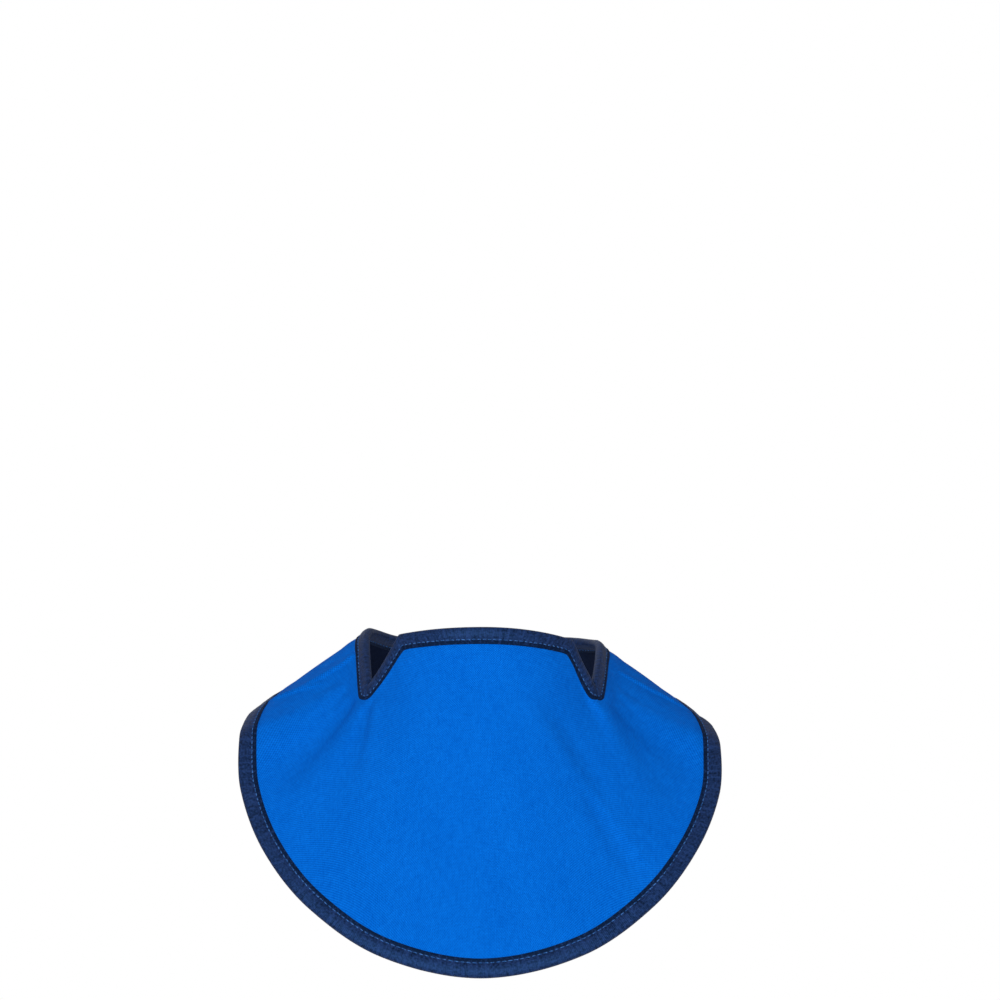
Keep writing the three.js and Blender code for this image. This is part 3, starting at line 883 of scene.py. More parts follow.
@dataclass
class StitchRow:
    """Lockstitches along a seam, placed by Geometry Nodes.

    The first sizes are in millimetres. sink and crown are shares of the arch, by which a stitch's
    ends go under the seam and its bow is pulled up. The turns are in radians.
    """

    name: str
    pitch: float
    length: float
    thread: float
    arch: float
    seed: int
    sink: float = 0.7
    crown: float = 1.7
    bends: int = 6
    facets: int = 7
    turns: tuple[Sequence[float], Sequence[float]] = ((-0.06, -0.05, -0.13), (0.06, 0.05, 0.03))
    sizes: tuple[Sequence[float], Sequence[float]] = ((0.85, 0.9, 0.85), (1.08, 1.12, 1.12))

    def tree(self) -> bpy.types.NodeTree:
        """Builds the node tree, with the stitch's sizes as named inputs in metres.

        Returns:
            The node tree.
        """
        tree = bpy.data.node_groups.new(f"{self.name}_tree", "GeometryNodeTree")
        labels = [(label, "Float") for label in ("Pitch", "Length", "Thread", "Arch")]
        labels = [("Seam", "Geometry"), *labels, ("Seed", "Int"), ("Finish", "Material")]
        for label, kind in labels:
            tree.interface.new_socket(label, in_out="INPUT", socket_type=f"NodeSocket{kind}")
        tree.interface.new_socket("Stitches", in_out="OUTPUT", socket_type="NodeSocketGeometry")
        given = tree.nodes.new("NodeGroupInput").outputs

        def add(kind: str, sockets: dict[str | int, object], **settings: str) -> bpy.types.Node:
            """Adds a node with its settings, and links its sockets or sets a value on them.

            Args:
                kind: the node's type.
                sockets: values or links of its inputs, by name or index.
                settings: the node's own properties, set first.

            Returns:
                The node.
            """
            node = tree.nodes.new(kind)
            for key, setting in settings.items():
                setattr(node, key, setting)
            for key, value in sockets.items():
                if isinstance(value, bpy.types.Node):
                    value = value.outputs[0]
                if isinstance(value, bpy.types.NodeSocket):
                    tree.links.new(value, node.inputs[key])
                else:
                    node.inputs[key].default_value = value
            return node

        def scaled(label: str, factor: float) -> bpy.types.Node:
            """Returns one of the tree's inputs times a number."""
            return add("ShaderNodeMath", {0: given[label], 1: factor}, operation="MULTIPLY")

        def drawn(least: Sequence[float], most: Sequence[float]) -> bpy.types.Node:
            """Returns a random vector for each stitch."""
            sockets = {"Min": least, "Max": most, "Seed": given["Seed"]}
            return add("FunctionNodeRandomValue", sockets, data_type="FLOAT_VECTOR")

        start, end = (
            add("ShaderNodeCombineXYZ", {0: scaled("Length", half), 2: scaled("Arch", -self.sink)})
            for half in (-0.5, 0.5)
        )
        crown = add("ShaderNodeCombineXYZ", {2: scaled("Arch", self.crown)})
        bow = {"Resolution": self.bends, "Start": start, "Middle": crown, "End": end}
        curve = add("GeometryNodeCurveQuadraticBezier", bow)
        section = {"Resolution": self.facets, "Radius": scaled("Thread", 0.5)}
        ring = add("GeometryNodeCurvePrimitiveCircle", section)
        swept = {"Curve": curve, "Profile Curve": ring, "Fill Caps": True}
        thread = add("GeometryNodeCurveToMesh", swept)
        seam = add("GeometryNodeMeshToCurve", {0: given["Seam"]})
        spacing = {"Curve": seam, "Length": given["Pitch"]}
        spaced = add("GeometryNodeResampleCurve", spacing, mode="LENGTH")
        tangent = add("GeometryNodeInputTangent", {})
        out = add("GeometryNodeInputNamedAttribute", {"Name": "out"}, data_type="FLOAT_VECTOR")
        along = add("FunctionNodeAlignRotationToVector", {"Vector": tangent}, axis="X")
        facing = {"Rotation": along, "Vector": out}
        upright = add("FunctionNodeAlignRotationToVector", facing, axis="Z", pivot_axis="X")
        skewing = {0: upright, 1: drawn(*self.turns)}
        skewed = add("FunctionNodeRotateRotation", skewing, rotation_space="LOCAL")
        size = drawn(*self.sizes)
        copies = {"Points": spaced, "Instance": thread, "Rotation": skewed, "Scale": size}
        placed = add("GeometryNodeInstanceOnPoints", copies)
        real = add("GeometryNodeRealizeInstances", {0: placed})
        soft = add("GeometryNodeSetShadeSmooth", {0: real})
        finished = add("GeometryNodeSetMaterial", {0: soft, "Material": given["Finish"]})
        add("NodeGroupOutput", {0: finished})
        return tree

    def build(self, seams: list[Seam], material: bpy.types.Material) -> bpy.types.Object:
        """Sews the row.

        Args:
            seams: for each seam its rows of points and of directions out of the tape.
            material: the thread's finish.

        Returns:
            The stitches as one plain mesh piece.
        """
        points = np.concatenate([line for line, _out in seams])
        outs = np.concatenate([out for _line, out in seams])
        edges, first = [], 0
        for line, _out in seams:
            edges += [(first + i, first + i + 1) for i in range(len(line) - 1)]
            first += len(line)
        mesh = bpy.data.meshes.new(f"{self.name}_seam")
        mesh.from_pydata((points / METRE).tolist(), edges, [])
        outward = mesh.attributes.new("out", "FLOAT_VECTOR", "POINT")
        outward.data.foreach_set("vector", outs.astype(np.float32).ravel())
        carrier = add_object(f"{self.name}_seam", mesh)
        modifier = carrier.modifiers.new("stitches", "NODES")
        modifier.node_group = self.tree()
        values = {
            "Pitch": self.pitch / METRE,
            "Length": self.length / METRE,
            "Thread": self.thread / METRE,
            "Arch": self.arch / METRE,
            "Seed": self.seed,
            "Finish": material,
        }
        for item in modifier.node_group.interface.items_tree:
            if item.in_out == "INPUT" and item.name in values:
                modifier[item.identifier] = values[item.name]
        carrier.update_tag()
        graph = bpy.context.evaluated_depsgraph_get()
        sewn = bpy.data.meshes.new_from_object(carrier.evaluated_get(graph))
        bpy.data.objects.remove(carrier)
        return add_object(self.name, sewn)


@dataclass
class EdgeRun:
    """A stretch of an edge: its places, and the places under the tape's sewn edge."""

    edge: Array
    sewn: Array
    foot: bool = False


@dataclass
class Binding:
    """A tape folded over an edge of the cloth and sewn through with a row of stitches."""

    name: str
    surface: ClothSurface
    width: float
    seed: int
    spacing: float = 1.0
    least_steps: int = 6
    seam_inset: float = 2.4
    cloth_face: float = 1.18
    tape_face: float = 2.1
    wall: float = 0.9
    lip: float = 1.3
    lip_gap: float = 0.3
    lip_room: tuple[float, float] = (0.12, 0.32)
    seam_dip: float = 0.5
    pillow: float = 0.3
    wrinkle: float = 0.1
    crease: float = 0.45
    crease_width: float = 0.9
    pucker: float = 0.07
    pucker_width: float = 1.3
    pucker_pitch: float = 3.0
    fan_steps: int = 22
    fan_swell: float = 0.05
    ease_steps: int = 4
    ease_spread: float = 1.7
    far_off: float = 99.0
    runs: list[EdgeRun] = field(default_factory=list)

    def headings(self, place: Array) -> tuple[Array, Array]:
        """Returns a line's points and its headings square into the cloth."""
        points, out = self.surface.faced(place)
        return points, unit(np.cross(unit(np.gradient(points, axis=0)), out))

    def even(self, place: Array, count: int) -> Array:
        """Respaces a line of places evenly.

        Args:
            place: rows of turn and share down.
            count: how many rows to return.

        Returns:
            The new rows.
        """
        way = travelled(self.surface.line(place))
        goals = np.linspace(0.0, way[-1], count)
        return np.stack([np.interp(goals, way, place[:, k]) for k in (0, 1)], axis=1)

    def lay(
        self,
        lines: list[Array],
        corners: list[Corner],
        start: Array | None = None,
        end: Array | None = None,
    ) -> None:
        """Works out the sewn edge along the runs of an edge.

        Args:
            lines: the places of each run, from corner to corner.
            corners: how the tape turns between each run and the next.
            start: where the sewn edge starts, or nothing to go square in.
            end: where the sewn edge ends, or nothing to go square in.
        """
        lines = [self.even(line, 4 * len(line)) for line in lines]
        points, inward = zip(*[self.headings(line) for line in lines])
        offsets = [self.surface.slide(*pair, self.width) for pair in zip(lines, inward)]
        heads: list[Array | None] = [None] * len(lines)
        tails: list[Array | None] = [None] * len(lines)
        keeps = [np.ones(len(line), bool) for line in lines]
        for k, corner in enumerate(corners):
            if corner is Corner.MITRE:
                before, after = inward[k][-1], inward[k + 1][0]
                middle = unit(before + after)
                mitre = middle / float(middle @ before)
                half = math.acos(float(np.clip(before @ after, -1.0, 1.0))) / 2.0
                shadow = math.tan(half) * self.width
                tails[k] = heads[k + 1] = self.surface.slide(lines[k][-1:], mitre[None], self.width)
                for index in (k, k + 1):
                    away = np.linalg.norm(points[index] - points[k][-1], axis=1)
                    keeps[index] &= away > shadow
        for k, (head, tail) in enumerate(zip(heads, tails)):
            parts = [head, offsets[k][keeps[k]], tail]
            offsets[k] = np.concatenate([part for part in parts if part is not None])
        if start is not None:
            offsets[0][0] = start
        if end is not None:
            offsets[-1][-1] = end
        for k, (line, offset) in enumerate(zip(lines, offsets)):
            length = travelled(self.surface.line(line))[-1]
            count = max(int(length / self.spacing), self.least_steps)
            self.runs.append(EdgeRun(self.even(line, count), self.even(offset, count)))
            if k < len(corners) and corners[k] is Corner.FAN:
                self.runs.append(self.fan(line[-1:], offset[-1], offsets[k + 1][0]))

    def fan(self, foot: Array, first: Array, last: Array) -> EdgeRun:
        """Swings the tape round a notch's foot.

        Args:
            foot: the place of the foot, as one row.
            first: the sewn place where the swing starts.
            last: the sewn place where it ends.

        Returns:
            The run between the two.
        """
        point, out = self.surface.faced(foot)
        arms = self.surface.line(np.stack([first, last])) - point
        arms = unit(arms - dot(arms, out) * out)
        share = np.linspace(0.0, 1.0, self.fan_steps)[:, None]
        swing = math.acos(float(np.clip(arms[0] @ arms[1], -1.0, 1.0)))
        rays = unit(np.sin((1 - share) * swing) * arms[0] + np.sin(share * swing) * arms[1])
        reach = self.width * (1.0 + self.fan_swell * np.sin(2.0 * math.pi * share[:, 0]) ** 2)
        spot = np.repeat(foot, self.fan_steps, axis=0)
        return EdgeRun(spot, self.surface.slide(spot, rays, reach), foot=True)

    def stations(self) -> tuple[Array, Array, Array, Array]:
        """The runs joined into one line of stations.

        Returns:
            The edge places, the rounded sewn places, how far each station is from a fold of the
            tape, and how far it is from a notch's foot, both in millimetres.
        """
        joined = []
        for k, run in enumerate(self.runs):
            last = k == len(self.runs) - 1
            way = travelled(self.surface.line(run.sewn))
            fold = foot = np.full_like(way, self.far_off)
            if run.foot:
                fold, foot = np.abs(way - way[-1] / 2.0), np.zeros_like(way)
            else:
                along = travelled(self.surface.line(run.edge))
                beside = [] if k == 0 else [(self.runs[k - 1], way, along)]
                beside += [] if last else [(self.runs[k + 1], way[-1] - way, along[-1] - along)]
                for other, from_fold, from_foot in beside:
                    if other.foot:
                        foot = np.minimum(foot, from_foot)
                    else:
                        fold = np.minimum(fold, from_fold)
            keep = slice(None) if last else slice(0, -1)
            joined.append([values[keep] for values in (run.edge, run.sewn, fold, foot)])
        edge, sewn, fold, foot = (np.concatenate(values) for values in zip(*joined))
        return edge, self.rounded(sewn), fold, foot

    def rounded(self, place: Array) -> Array:
        """Eases the corners of a line and keeps its ends.

        Args:
            place: rows of turn and share down.

        Returns:
            The eased rows.
        """
        steps = self.ease_steps
        weights = np.exp(-0.5 * (np.arange(-steps, steps + 1) / self.ease_spread) ** 2)
        weights /= weights.sum()
        head = 2 * place[0] - place[steps:0:-1]
        tail = 2 * place[-1] - place[-2 : -steps - 2 : -1]
        padded = np.concatenate([head, place, tail])
        return np.stack([np.convolve(padded[:, k], weights, "valid") for k in (0, 1)], axis=1)

    def profile(self) -> tuple[list[tuple[float, float]], list[tuple[float, float]]]:
        """The tape's section.

        Returns:
            The outer face and the face against the cloth, each as pairs of a reach and a height.
            A reach of 0 is the cloth's edge and positive goes in, a negative reach is past it.
        """
        width, seam = self.width, self.width - self.seam_inset
        top, low = self.tape_face, self.cloth_face
        front = [
            (width, low + 0.35),
            (width - 0.12, top - 0.45),
            (width - 0.45, top - 0.32),
            (width - 1.1, top - 0.28),
            (seam + 0.75, top - 0.36),
            (seam + 0.3, top - self.seam_dip),
            (seam - 0.3, top - self.seam_dip),
            (seam - 0.9, top - 0.08),
            (seam - 2.0, top + self.pillow * 0.8),
            (seam * 0.4, top + self.pillow),
            (seam * 0.16, top + self.pillow * 0.6),
            (0.0, top - 0.02),
        ]
        angles = np.radians([68.0, 45.0, 22.0, 0.0])
        half = front + [(-self.lip * math.cos(a), (top - 0.1) * math.sin(a)) for a in angles]
        outer = half + [(reach, -height) for reach, height in half[-2::-1]]
        inner = []
        for reach, height in outer:
            if reach >= 0.0:
                inner.append((reach, math.copysign(low, height)))
            else:
                inner.append((max(reach + self.wall, -self.lip_gap), height * low / top))
        return outer, inner

    def section_faces(self, count: int, outer: int, ring: int) -> list[tuple[int, ...]]:
        """Faces of the tape's closed section swept along its stations.

        Args:
            count: how many stations there are.
            outer: how many points of the section lie on its outer face.
            ring: how many points the whole section has.

        Returns:
            The quads, and those that close both ends.
        """
        faces = []
        for i in range(count - 1):
            for j in range(ring):
                k = (j + 1) % ring
                faces.append((i * ring + j, (i + 1) * ring + j, (i + 1) * ring + k, i * ring + k))
        last = (count - 1) * ring
        for j in range(outer - 1):
            cap = (j, j + 1, ring - 2 - j, ring - 1 - j)
            faces += [cap, tuple(last + corner for corner in cap[::-1])]
        return faces

    def build(self, material: bpy.types.Material) -> tuple[bpy.types.Object, list[Seam]]:
        """Makes the tape.

        Args:
            material: the tape's finish.

        Returns:
            The tape's piece, and its front and back seams as points and directions out.
        """
        edge, sewn, fold, foot = self.stations()
        count = len(edge)
        way = travelled(self.surface.line(sewn))
        outer, inner = self.profile()
        seam_reach = self.width - self.seam_inset
        lip_way = unit(self.surface.line(edge) - self.surface.line(mix(edge, sewn, 0.15)))
        least_room, room_growth = self.lip_room
        room = np.clip(foot * room_growth / self.lip, least_room, 1.0)
        crease = self.crease * np.exp(-((fold / self.crease_width) ** 2))
        ease = wander(way, 3.1, self.seed) * 0.6 + wander(way, 7.7, self.seed + 1)
        waves = self.pucker * np.cos(2.0 * math.pi * way / self.pucker_pitch)
        rows, uvs = [], []
        frames: dict[float, tuple[Array, Array]] = {}
        for index, (reach, height) in enumerate(outer + inner[::-1]):
            share = max(reach, 0.0) / self.width
            if share not in frames:
                frames[share] = self.surface.faced(mix(edge, sewn, share))
            base, out = frames[share]
            lift = np.full(count, height)
            if index < len(outer):
                body = math.exp(-(((reach - seam_reach * 0.45) / (seam_reach * 0.5)) ** 2))
                sewn_in = math.exp(-(((reach - seam_reach) / self.pucker_width) ** 2))
                ripple = self.wrinkle * ease * body + waves * sewn_in
                ripple = ripple - crease * min(1.0, abs(height) / self.tape_face)
                lift = lift + math.copysign(1.0, height) * ripple
            point = base + out * lift[:, None]
            if reach < 0.0:
                point = point - lip_way * (reach * room)[:, None]
            rows.append(point)
            uvs.append(np.stack([way, np.full(count, reach)], axis=1))
        faces = self.section_faces(count, len(outer), len(rows))
        points = np.stack(rows, axis=1).reshape(-1, 3)
        places = np.stack(uvs, axis=1).reshape(-1, 2)
        piece = PieceMesh(self.name, points, faces, places, [material]).build()
        LOG.info("%s: %d stations, %.0f mm long", self.name, count, way[-1])
        seam, seam_out = self.surface.faced(mix(edge, sewn, seam_reach / self.width))
        level = self.tape_face - self.seam_dip
        return piece, [(seam + seam_out * (s * level), seam_out * s) for s in (1.0, -1.0)]


@dataclass
class ShieldPanel:
    """The bib itself: one sheet of cloth between its two bound edges."""

    surface: ClothSurface
    neck_width: float
    hem_width: float
    face: float = 1.15
    swell: float = 0.4
    swell_reach: float = 7.0
    swell_start: float = -1.5
    counts: tuple[int, ...] = (36, 18, 12, 62, 44)
    rows: int = 112

    def grid(self) -> tuple[Array, Array]:
        """The places of the sheet's points.

        Returns:
            Their turns and their shares down, column by column.
        """
        halves = []
        for side in SIDES:
            runs = self.surface.side_runs(side, self.counts)
            halves.append(np.concatenate([run[:-1] for run in runs[:-1]] + [runs[-1]]))
        columns = np.concatenate([halves[0][:0:-1], halves[1]])
        share = np.linspace(0.0, 1.0, self.rows)[None]
        return mix(columns[:, :1], columns[:, 2:], share), mix(columns[:, 1:2], 1.0, share)

    def cut_size(self) -> tuple[tuple[float, float], float]:
        """The cut size of the cloth.

        Returns:
            The flat pattern's width and length, and the area of one face, in metres.
        """
        turn, down = self.grid()
        flat = self.surface.flat(turn, down)
        span = (flat.max(axis=(0, 1)) - flat.min(axis=(0, 1))) / METRE
        grid = self.surface.point(turn, down) / METRE
        across, other = grid[1:, 1:] - grid[:-1, :-1], grid[:-1, 1:] - grid[1:, :-1]
        area = float(np.linalg.norm(np.cross(across, other), axis=-1).sum() / 2.0)
        return (float(span[0]), float(span[1])), area

    def build(self, cloth: bpy.types.Material, lining: bpy.types.Material) -> bpy.types.Object:
        """Makes the sheet, with the cloth outside and the lining towards the neck.

        Args:
            cloth: the finish of the outside.
            lining: the finish towards the neck.

        Returns:
            The sheet's piece.
        """
        turn, down = self.grid()
        point, out = self.surface.point(turn, down), self.surface.out(turn, down)
        from_neck = travelled(point)
        from_hem = from_neck[:, -1:] - from_neck
        free = np.minimum(from_neck - self.neck_width, from_hem - self.hem_width)
        swelling = self.swell * bump(free - 0.75 * self.swell_reach, self.swell_reach)
        height = (self.face + np.where(free > self.swell_start, swelling, 0.0))[..., None]
        points = np.concatenate([point + out * height, point - out * height]).reshape(-1, 3)
        places = np.tile(self.surface.flat(turn, down).reshape(-1, 2), (2, 1))
        faces = shell_faces(*turn.shape)
        cells = (turn.shape[0] - 1) * (turn.shape[1] - 1)
        kinds = [0] * cells + [1] * cells + [0] * (len(faces) - 2 * cells)
        shell = PieceMesh("shield_cloth", points, faces, places, [cloth, lining], kinds)
        LOG.info("shield cloth: %d columns by %d rows", *turn.shape)
        return shell.build()


@dataclass
class BackClosure:
    """The hook-and-loop strip that joins the back ends."""

    surface: ClothSurface
    neck_width: float
    hem_width: float
    margin: float = 5.0
    overlap: float = 32.0
    wall: float = 1.6
    worn_edge: float = 0.8
    quilting: float = 0.06
    low: float = 1.6
    high: float = 2.75
    step: tuple[float, float] = (0.2, 2.6)
    bridge: tuple[float, ...] = (0.34, 0.67)
    end_columns: int = 30
    seam_lines: tuple[int, int] = (2, 20)
    rows: int = 34

    def clear_down(self, turn: Array, share: Array) -> Array:
        """Finds places between the tapes, less the margins.

        Args:
            turn: the turns, in degrees from the front.
            share: shares of the way between the tapes.

        Returns:
            One share of the whole way down for each turn.
        """
        top = self.neck_width + self.margin
        foot = self.surface.rib_lengths(turn) - self.hem_width - self.margin
        return self.surface.down_at(turn, mix(top, foot, share))

    def column(self, sign: int, distance: float, shares: Array) -> Array:
        """Finds one column of the strip.

        Args:
            sign: which back end, 1 or -1.
            distance: how far in from the end, in millimetres.
            shares: shares of the way between the tapes.

        Returns:
            Rows of turn and share down.
        """
        turn = np.full_like(shares, sign * self.surface.end_turn)
        place = np.stack([turn, self.clear_down(turn, shares)], axis=1)
        _east, south, out = self.surface.ways(self.surface.point, place[:, 0], place[:, 1])
        heading = unit(np.cross(south * sign, out))
        beside = self.surface.slide(place, heading, distance)
        return np.stack([beside[:, 0], self.clear_down(beside[:, 0], shares)], axis=1)

    def level(self, distance: Array) -> Array:
        """Works out the height of the strip's underside, which steps up over the tapes.

        Args:
            distance: distances in from the back end.

        Returns:
            One height for each distance.
        """
        start, end = (self.hem_width + step for step in self.step)
        share = np.clip((distance - start) / (end - start), 0.0, 1.0)
        return mix(self.high, self.low, eased(share))

    def bridged(self, right: Array, middle: Array, left: Array) -> Array:
        """Joins the columns of both ends over the gap between them.

        Args:
            right: the columns of the right end, from the inside out.
            middle: the one column in the middle of the gap.
            left: the columns of the left end, from the inside out.

        Returns:
            All columns, from right to left.
        """
        share = np.array(self.bridge)[:, None, None]
        gap = [mix(right[-1], middle[0], share), middle, mix(middle[0], left[-1], share)]
        return np.concatenate([right, *gap, left[::-1]])

    def loop(self, first: int, last: int) -> tuple[Array, Array]:
        """Walks round a stitched box.

        Args:
            first: the column where the box starts.
            last: the column where it ends.

        Returns:
            The columns and the rows of its corners and steps.
        """
        top = self.seam_lines[0]
        foot = self.rows - 1 - top
        loop = [(i, top) for i in range(first, last)] + [(last, j) for j in range(top, foot)]
        loop += [(i, foot) for i in range(last, first, -1)]
        loop += [(first, j) for j in range(foot, top, -1)]
        columns, rows = np.array([*loop, loop[0]]).T
        return columns, rows

    def build(self, material: bpy.types.Material) -> tuple[bpy.types.Object, list[Seam]]:
        """Makes the strip and the seams that hold it.

        Args:
            material: the strip's finish.

        Returns:
            The strip's piece, and its seams as points and directions out.
        """
        shares = np.linspace(0.0, 1.0, self.rows)
        inset = np.linspace(self.overlap - 1.0, 0.0, self.end_columns)
        inset = np.concatenate([[self.overlap, self.overlap - 0.35], inset])
        turn = np.full_like(shares, 180.0)
        middle = np.stack([turn, self.clear_down(turn, shares)], axis=1)
        right, left = ([self.column(sign, d, shares) for d in inset] for sign in (1, -1))
        faced = [[self.surface.faced(place) for place in part] for part in (right, [middle], left)]
        points, outs = (
            self.bridged(*(np.stack([pair[k] for pair in part]) for part in faced)) for k in (0, 1)
        )
        outs = unit(outs)
        levels = self.level(inset)
        gap = [self.high] * (2 * len(self.bridge) + 1)
        levels = np.concatenate([levels, gap, levels[::-1]])
        columns = len(levels)
        way = travelled(points[:, self.rows // 2])
        drop = travelled(points[columns // 2])
        rim, side = np.minimum(way, way[-1] - way), np.minimum(drop, drop[-1] - drop)
        border = np.clip(np.minimum(rim[:, None], side[None]) / self.worn_edge, 0.0, 1.0)
        thick = self.wall * (0.55 + 0.45 * border**0.5)
        quilt = self.quilting * np.sin(way[:, None] / 2.9) * np.sin(drop[None] / 3.7)
        top = points + outs * (levels[:, None] + thick + quilt)[..., None]
        base = points + outs * levels[:, None, None]
        places = np.stack(np.broadcast_arrays(way[:, None], drop[None]), axis=-1).reshape(-1, 2)
        both = np.concatenate([top, base]).reshape(-1, 3)
        faces = shell_faces(columns, self.rows)
        piece = PieceMesh("closure_strip", both, faces, np.tile(places, (2, 1)), [material]).build()
        near, far = self.seam_lines
        boxes = [self.loop(near, far), self.loop(columns - 1 - far, columns - 1 - near)]
        return piece, [(top[box], outs[box]) for box in boxes]


@dataclass
class Collar:
    """The whole collar, from its surface to its finished pieces."""

    surface: ClothSurface = field(default_factory=ClothSurface)
    neck_width: float = 8.0
    hem_width: float = 8.8
    tape_gap: float = 0.6
    neck_counts: tuple[int, ...] = (44, 34, 1, 60, 90)
    hem_count: int = 420
    end_count: int = 40

    def finishes(self) -> dict[str, bpy.types.Material]:
        """Builds every finish and returns them by name.

        Returns:
            The materials.
        """
        navy = (0.0016, 0.0055, 0.024), (0.0168, 0.043, 0.152)
        made = (
            ShieldCloth("shield_blue", (0.0, 0.105, 0.57), (0.003, 0.19, 0.84)),
            # The lining's near-black navy is partly its own dark cloth and partly painted shade,
            # standing in for the dark seen through the notches.
            ShieldCloth("lining_navy_shade", (0.006, 0.011, 0.035), (0.012, 0.021, 0.06)),
            BindingTape("tape_neck", *navy, self.neck_width),
            BindingTape("tape_hem", *navy, self.hem_width),
            SewingThread("thread_blue", (0.016, 0.075, 0.26), (0.07, 0.2, 0.54)),
            LoopStrip("strip_navy", (0.006, 0.012, 0.035), (0.03, 0.045, 0.1)),
        )
        return {finish.name: finish.material() for finish in made}

    def neck_binding(self) -> Binding:
        """Lays the tape over the throat tab, the notches, the wings and the back of the neck.

        Returns:
            The tape, ready to build.
        """
        surface = self.surface
        left, right = (surface.side_runs(side, self.neck_counts) for side in SIDES)
        tab = np.concatenate([left[0][:0:-1], right[0]])
        wings = [np.concatenate([half[3], half[4][1:]]) for half in (left, right)]
        lines = [wings[0][::-1], left[1][::-1], tab, right[1], wings[1]]
        end = surface.end_turn
        ends = [np.array([s * end, surface.down_at(s * end, self.neck_width)[0]]) for s in (-1, 1)]
        binding = Binding("neck_tape", surface, self.neck_width, seed=5)
        corners = [Corner.FAN, Corner.MITRE, Corner.MITRE, Corner.FAN]
        binding.lay([line[:, :2] for line in lines], corners, *ends)
        return binding

    def hem_binding(self) -> Binding:
        """Lays the tape up both back ends and round the hem.

        Returns:
            The tape, ready to build.
        """
        surface, end = self.surface, self.surface.end_turn
        hem_turns = np.linspace(end, -end, self.hem_count)
        hem = np.stack([hem_turns, np.ones_like(hem_turns)], axis=1)
        sides = []
        for sign in (1, -1):
            top = surface.down_at(sign * end, self.neck_width + self.tape_gap)[0]
            down = np.linspace(top, 1.0, self.end_count)
            sides.append(np.stack([np.full_like(down, sign * end), down], axis=1))
        binding = Binding("hem_tape", surface, self.hem_width, seed=11, wrinkle=0.14)
        binding.lay([sides[0], hem, sides[1][::-1]], [Corner.MITRE, Corner.MITRE])
        return binding

    def build(self) -> None:
        """Makes every piece, and says what each one replaces and rides on."""
        finish = self.finishes()
        panel = ShieldPanel(self.surface, self.neck_width, self.hem_width)
        cloth = panel.build(finish["shield_blue"], finish["lining_navy_shade"])
        neck, neck_seams = self.neck_binding().build(finish["tape_neck"])
        hem, hem_seams = self.hem_binding().build(finish["tape_hem"])
        closure = BackClosure(self.surface, self.neck_width, self.hem_width)
        strip, strip_seams = closure.build(finish["strip_navy"])
        thread = finish["thread_blue"]
        # Pitch, length, thread and arch of a row's stitches in millimetres, and its seed.
        rows = [
            StitchRow("neck_stitches", 2.8, 1.6, 0.52, 0.3, 3).build(neck_seams, thread),
            StitchRow("hem_stitches", 3.1, 1.95, 0.56, 0.32, 7).build(hem_seams, thread),
            StitchRow("closure_stitches", 3.0, 2.2, 0.45, 0.2, 9).build(strip_seams, thread),
        ]
        for piece, node, slot in (
            (cloth, "shield_panel", Slot.CLOTH),
            (neck, "neck_binding", Slot.TAPE),
            (hem, "hem_binding", Slot.TAPE),
            (strip, "back_closure", Slot.STRIP),
        ):
            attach(piece, "root")
            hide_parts(node)
            LOG.info("%s stands for %s", piece.name, node)
        for piece in rows:
            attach(piece, "root")
            LOG.info("%s: %d faces", piece.name, len(piece.data.polygons))
        flat, area = panel.cut_size()
        LOG.info("cut size %.3f by %.3f m, %.4f square metres", *flat, area)


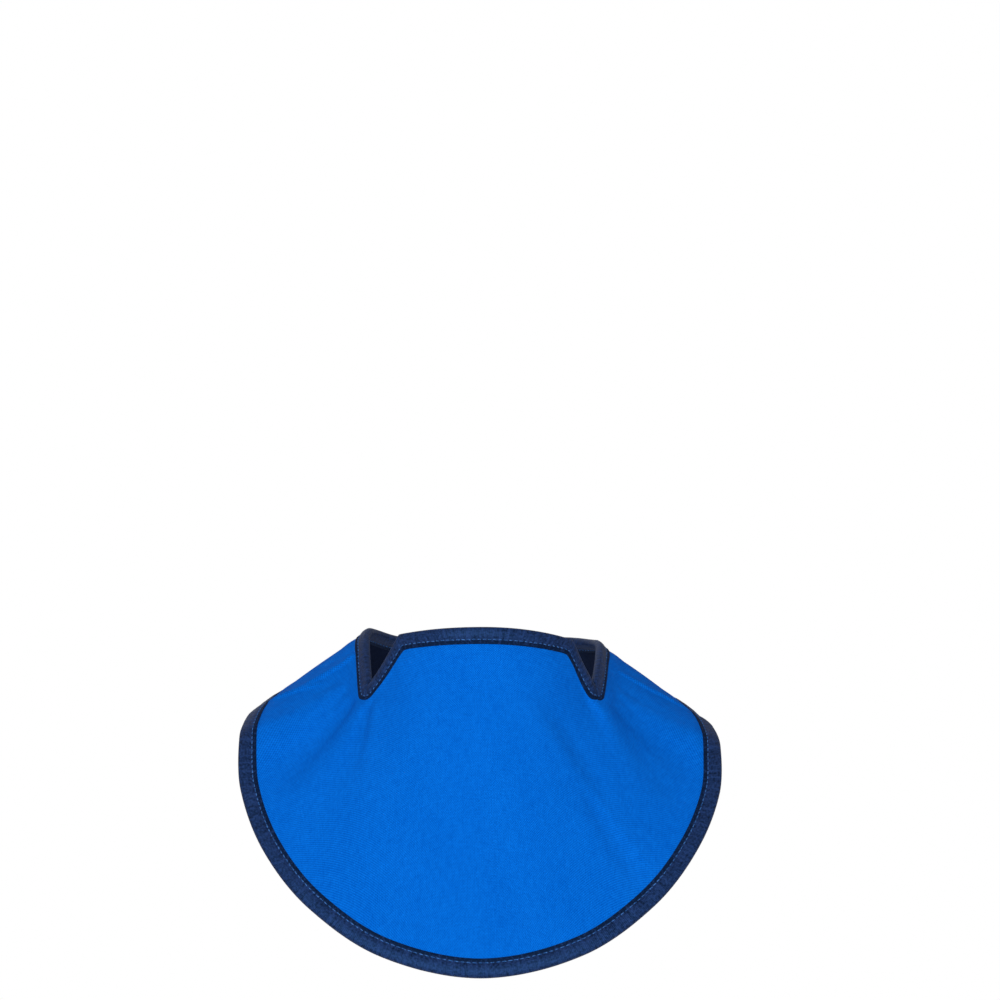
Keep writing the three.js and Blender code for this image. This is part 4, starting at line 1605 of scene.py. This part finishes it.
@dataclass
class Studio:
    """Pale floor, soft light and a level camera in front of the collar, all in metres."""

    camera_place: tuple[float, float, float] = (0.0092, -2.5, 0.0864)
    lens: float = 166.67
    floor_height: float = -0.45
    floor_radius: float = 2.4
    floor_corners: int = 96
    aim: tuple[float, float, float] = (0.0, -0.03, -0.05)
    room_glow: float = 0.29

    def camera(self) -> None:
        """Sets the camera level in front of the collar."""
        data = bpy.data.cameras.new("camera")
        data.lens, data.sensor_width = self.lens, 36.0
        camera = add_object("camera", data)
        camera.location = self.camera_place
        camera.rotation_euler = (math.pi / 2.0, 0.0, 0.0)
        bpy.context.scene.camera = camera

    def light(self, name: str, place: Sequence[float], size: float, power: float) -> None:
        """Adds a soft square light that looks at the collar.

        Args:
            name: the light's name.
            place: where it stands.
            size: the length of its side.
            power: its power in watts.
        """
        data = bpy.data.lights.new(name, "AREA")
        data.size, data.energy = size, power
        light = add_object(name, data)
        light.location = place
        aim = Vector(self.aim) - Vector(place)
        light.rotation_euler = aim.to_track_quat("-Z", "Y").to_euler()

    def floor(self) -> None:
        """Lays the pale floor under the collar."""
        turns = np.linspace(0.0, 2.0 * math.pi, self.floor_corners, endpoint=False)
        radius, height = self.floor_radius, self.floor_height
        rim = [(radius * math.cos(turn), radius * math.sin(turn), height) for turn in turns]
        mesh = bpy.data.meshes.new("floor")
        mesh.from_pydata(rim, [], [tuple(range(self.floor_corners))])
        shader = Shader("floor_white", Roughness=0.9, Specular_IOR_Level=0.1)
        shader.surface.inputs["Base Color"].default_value = (0.93, 0.93, 0.93, 1.0)
        mesh.materials.append(shader.material)
        add_object("floor", mesh)

    def world(self) -> None:
        """Lights the room evenly and leaves its walls white."""
        world = bpy.data.worlds.new("room")
        world.use_nodes = True
        nodes, links = world.node_tree.nodes, world.node_tree.links
        shown, glow = nodes["Background"], nodes.new("ShaderNodeBackground")
        for background in (shown, glow):
            background.inputs["Color"].default_value = (1.0, 1.0, 1.0, 1.0)
        glow.inputs["Strength"].default_value = self.room_glow
        either = nodes.new("ShaderNodeMixShader")
        links.new(nodes.new("ShaderNodeLightPath").outputs["Is Camera Ray"], either.inputs[0])
        links.new(glow.outputs[0], either.inputs[1])
        links.new(shown.outputs[0], either.inputs[2])
        links.new(either.outputs[0], nodes["World Output"].inputs["Surface"])
        bpy.context.scene.world = world
        bpy.context.scene.view_settings.view_transform = "Standard"

    def build(self) -> None:
        """Builds the studio."""
        self.camera()
        self.world()
        self.floor()
        self.light("key", (-0.55, -2.5, 0.75), 0.9, 35.0)
        self.light("fill", (0.9, -2.3, -0.1), 1.2, 9.0)
        self.light("back", (-0.3, 1.6, 0.9), 1.2, 2.0)


def main() -> None:
    """Builds the studio and the collar, and notes the sizes."""
    logging.basicConfig(level=logging.INFO, format="%(name)s: %(message)s")
    Studio().build()
    Collar().build()


if __name__ == "__main__":
    main()
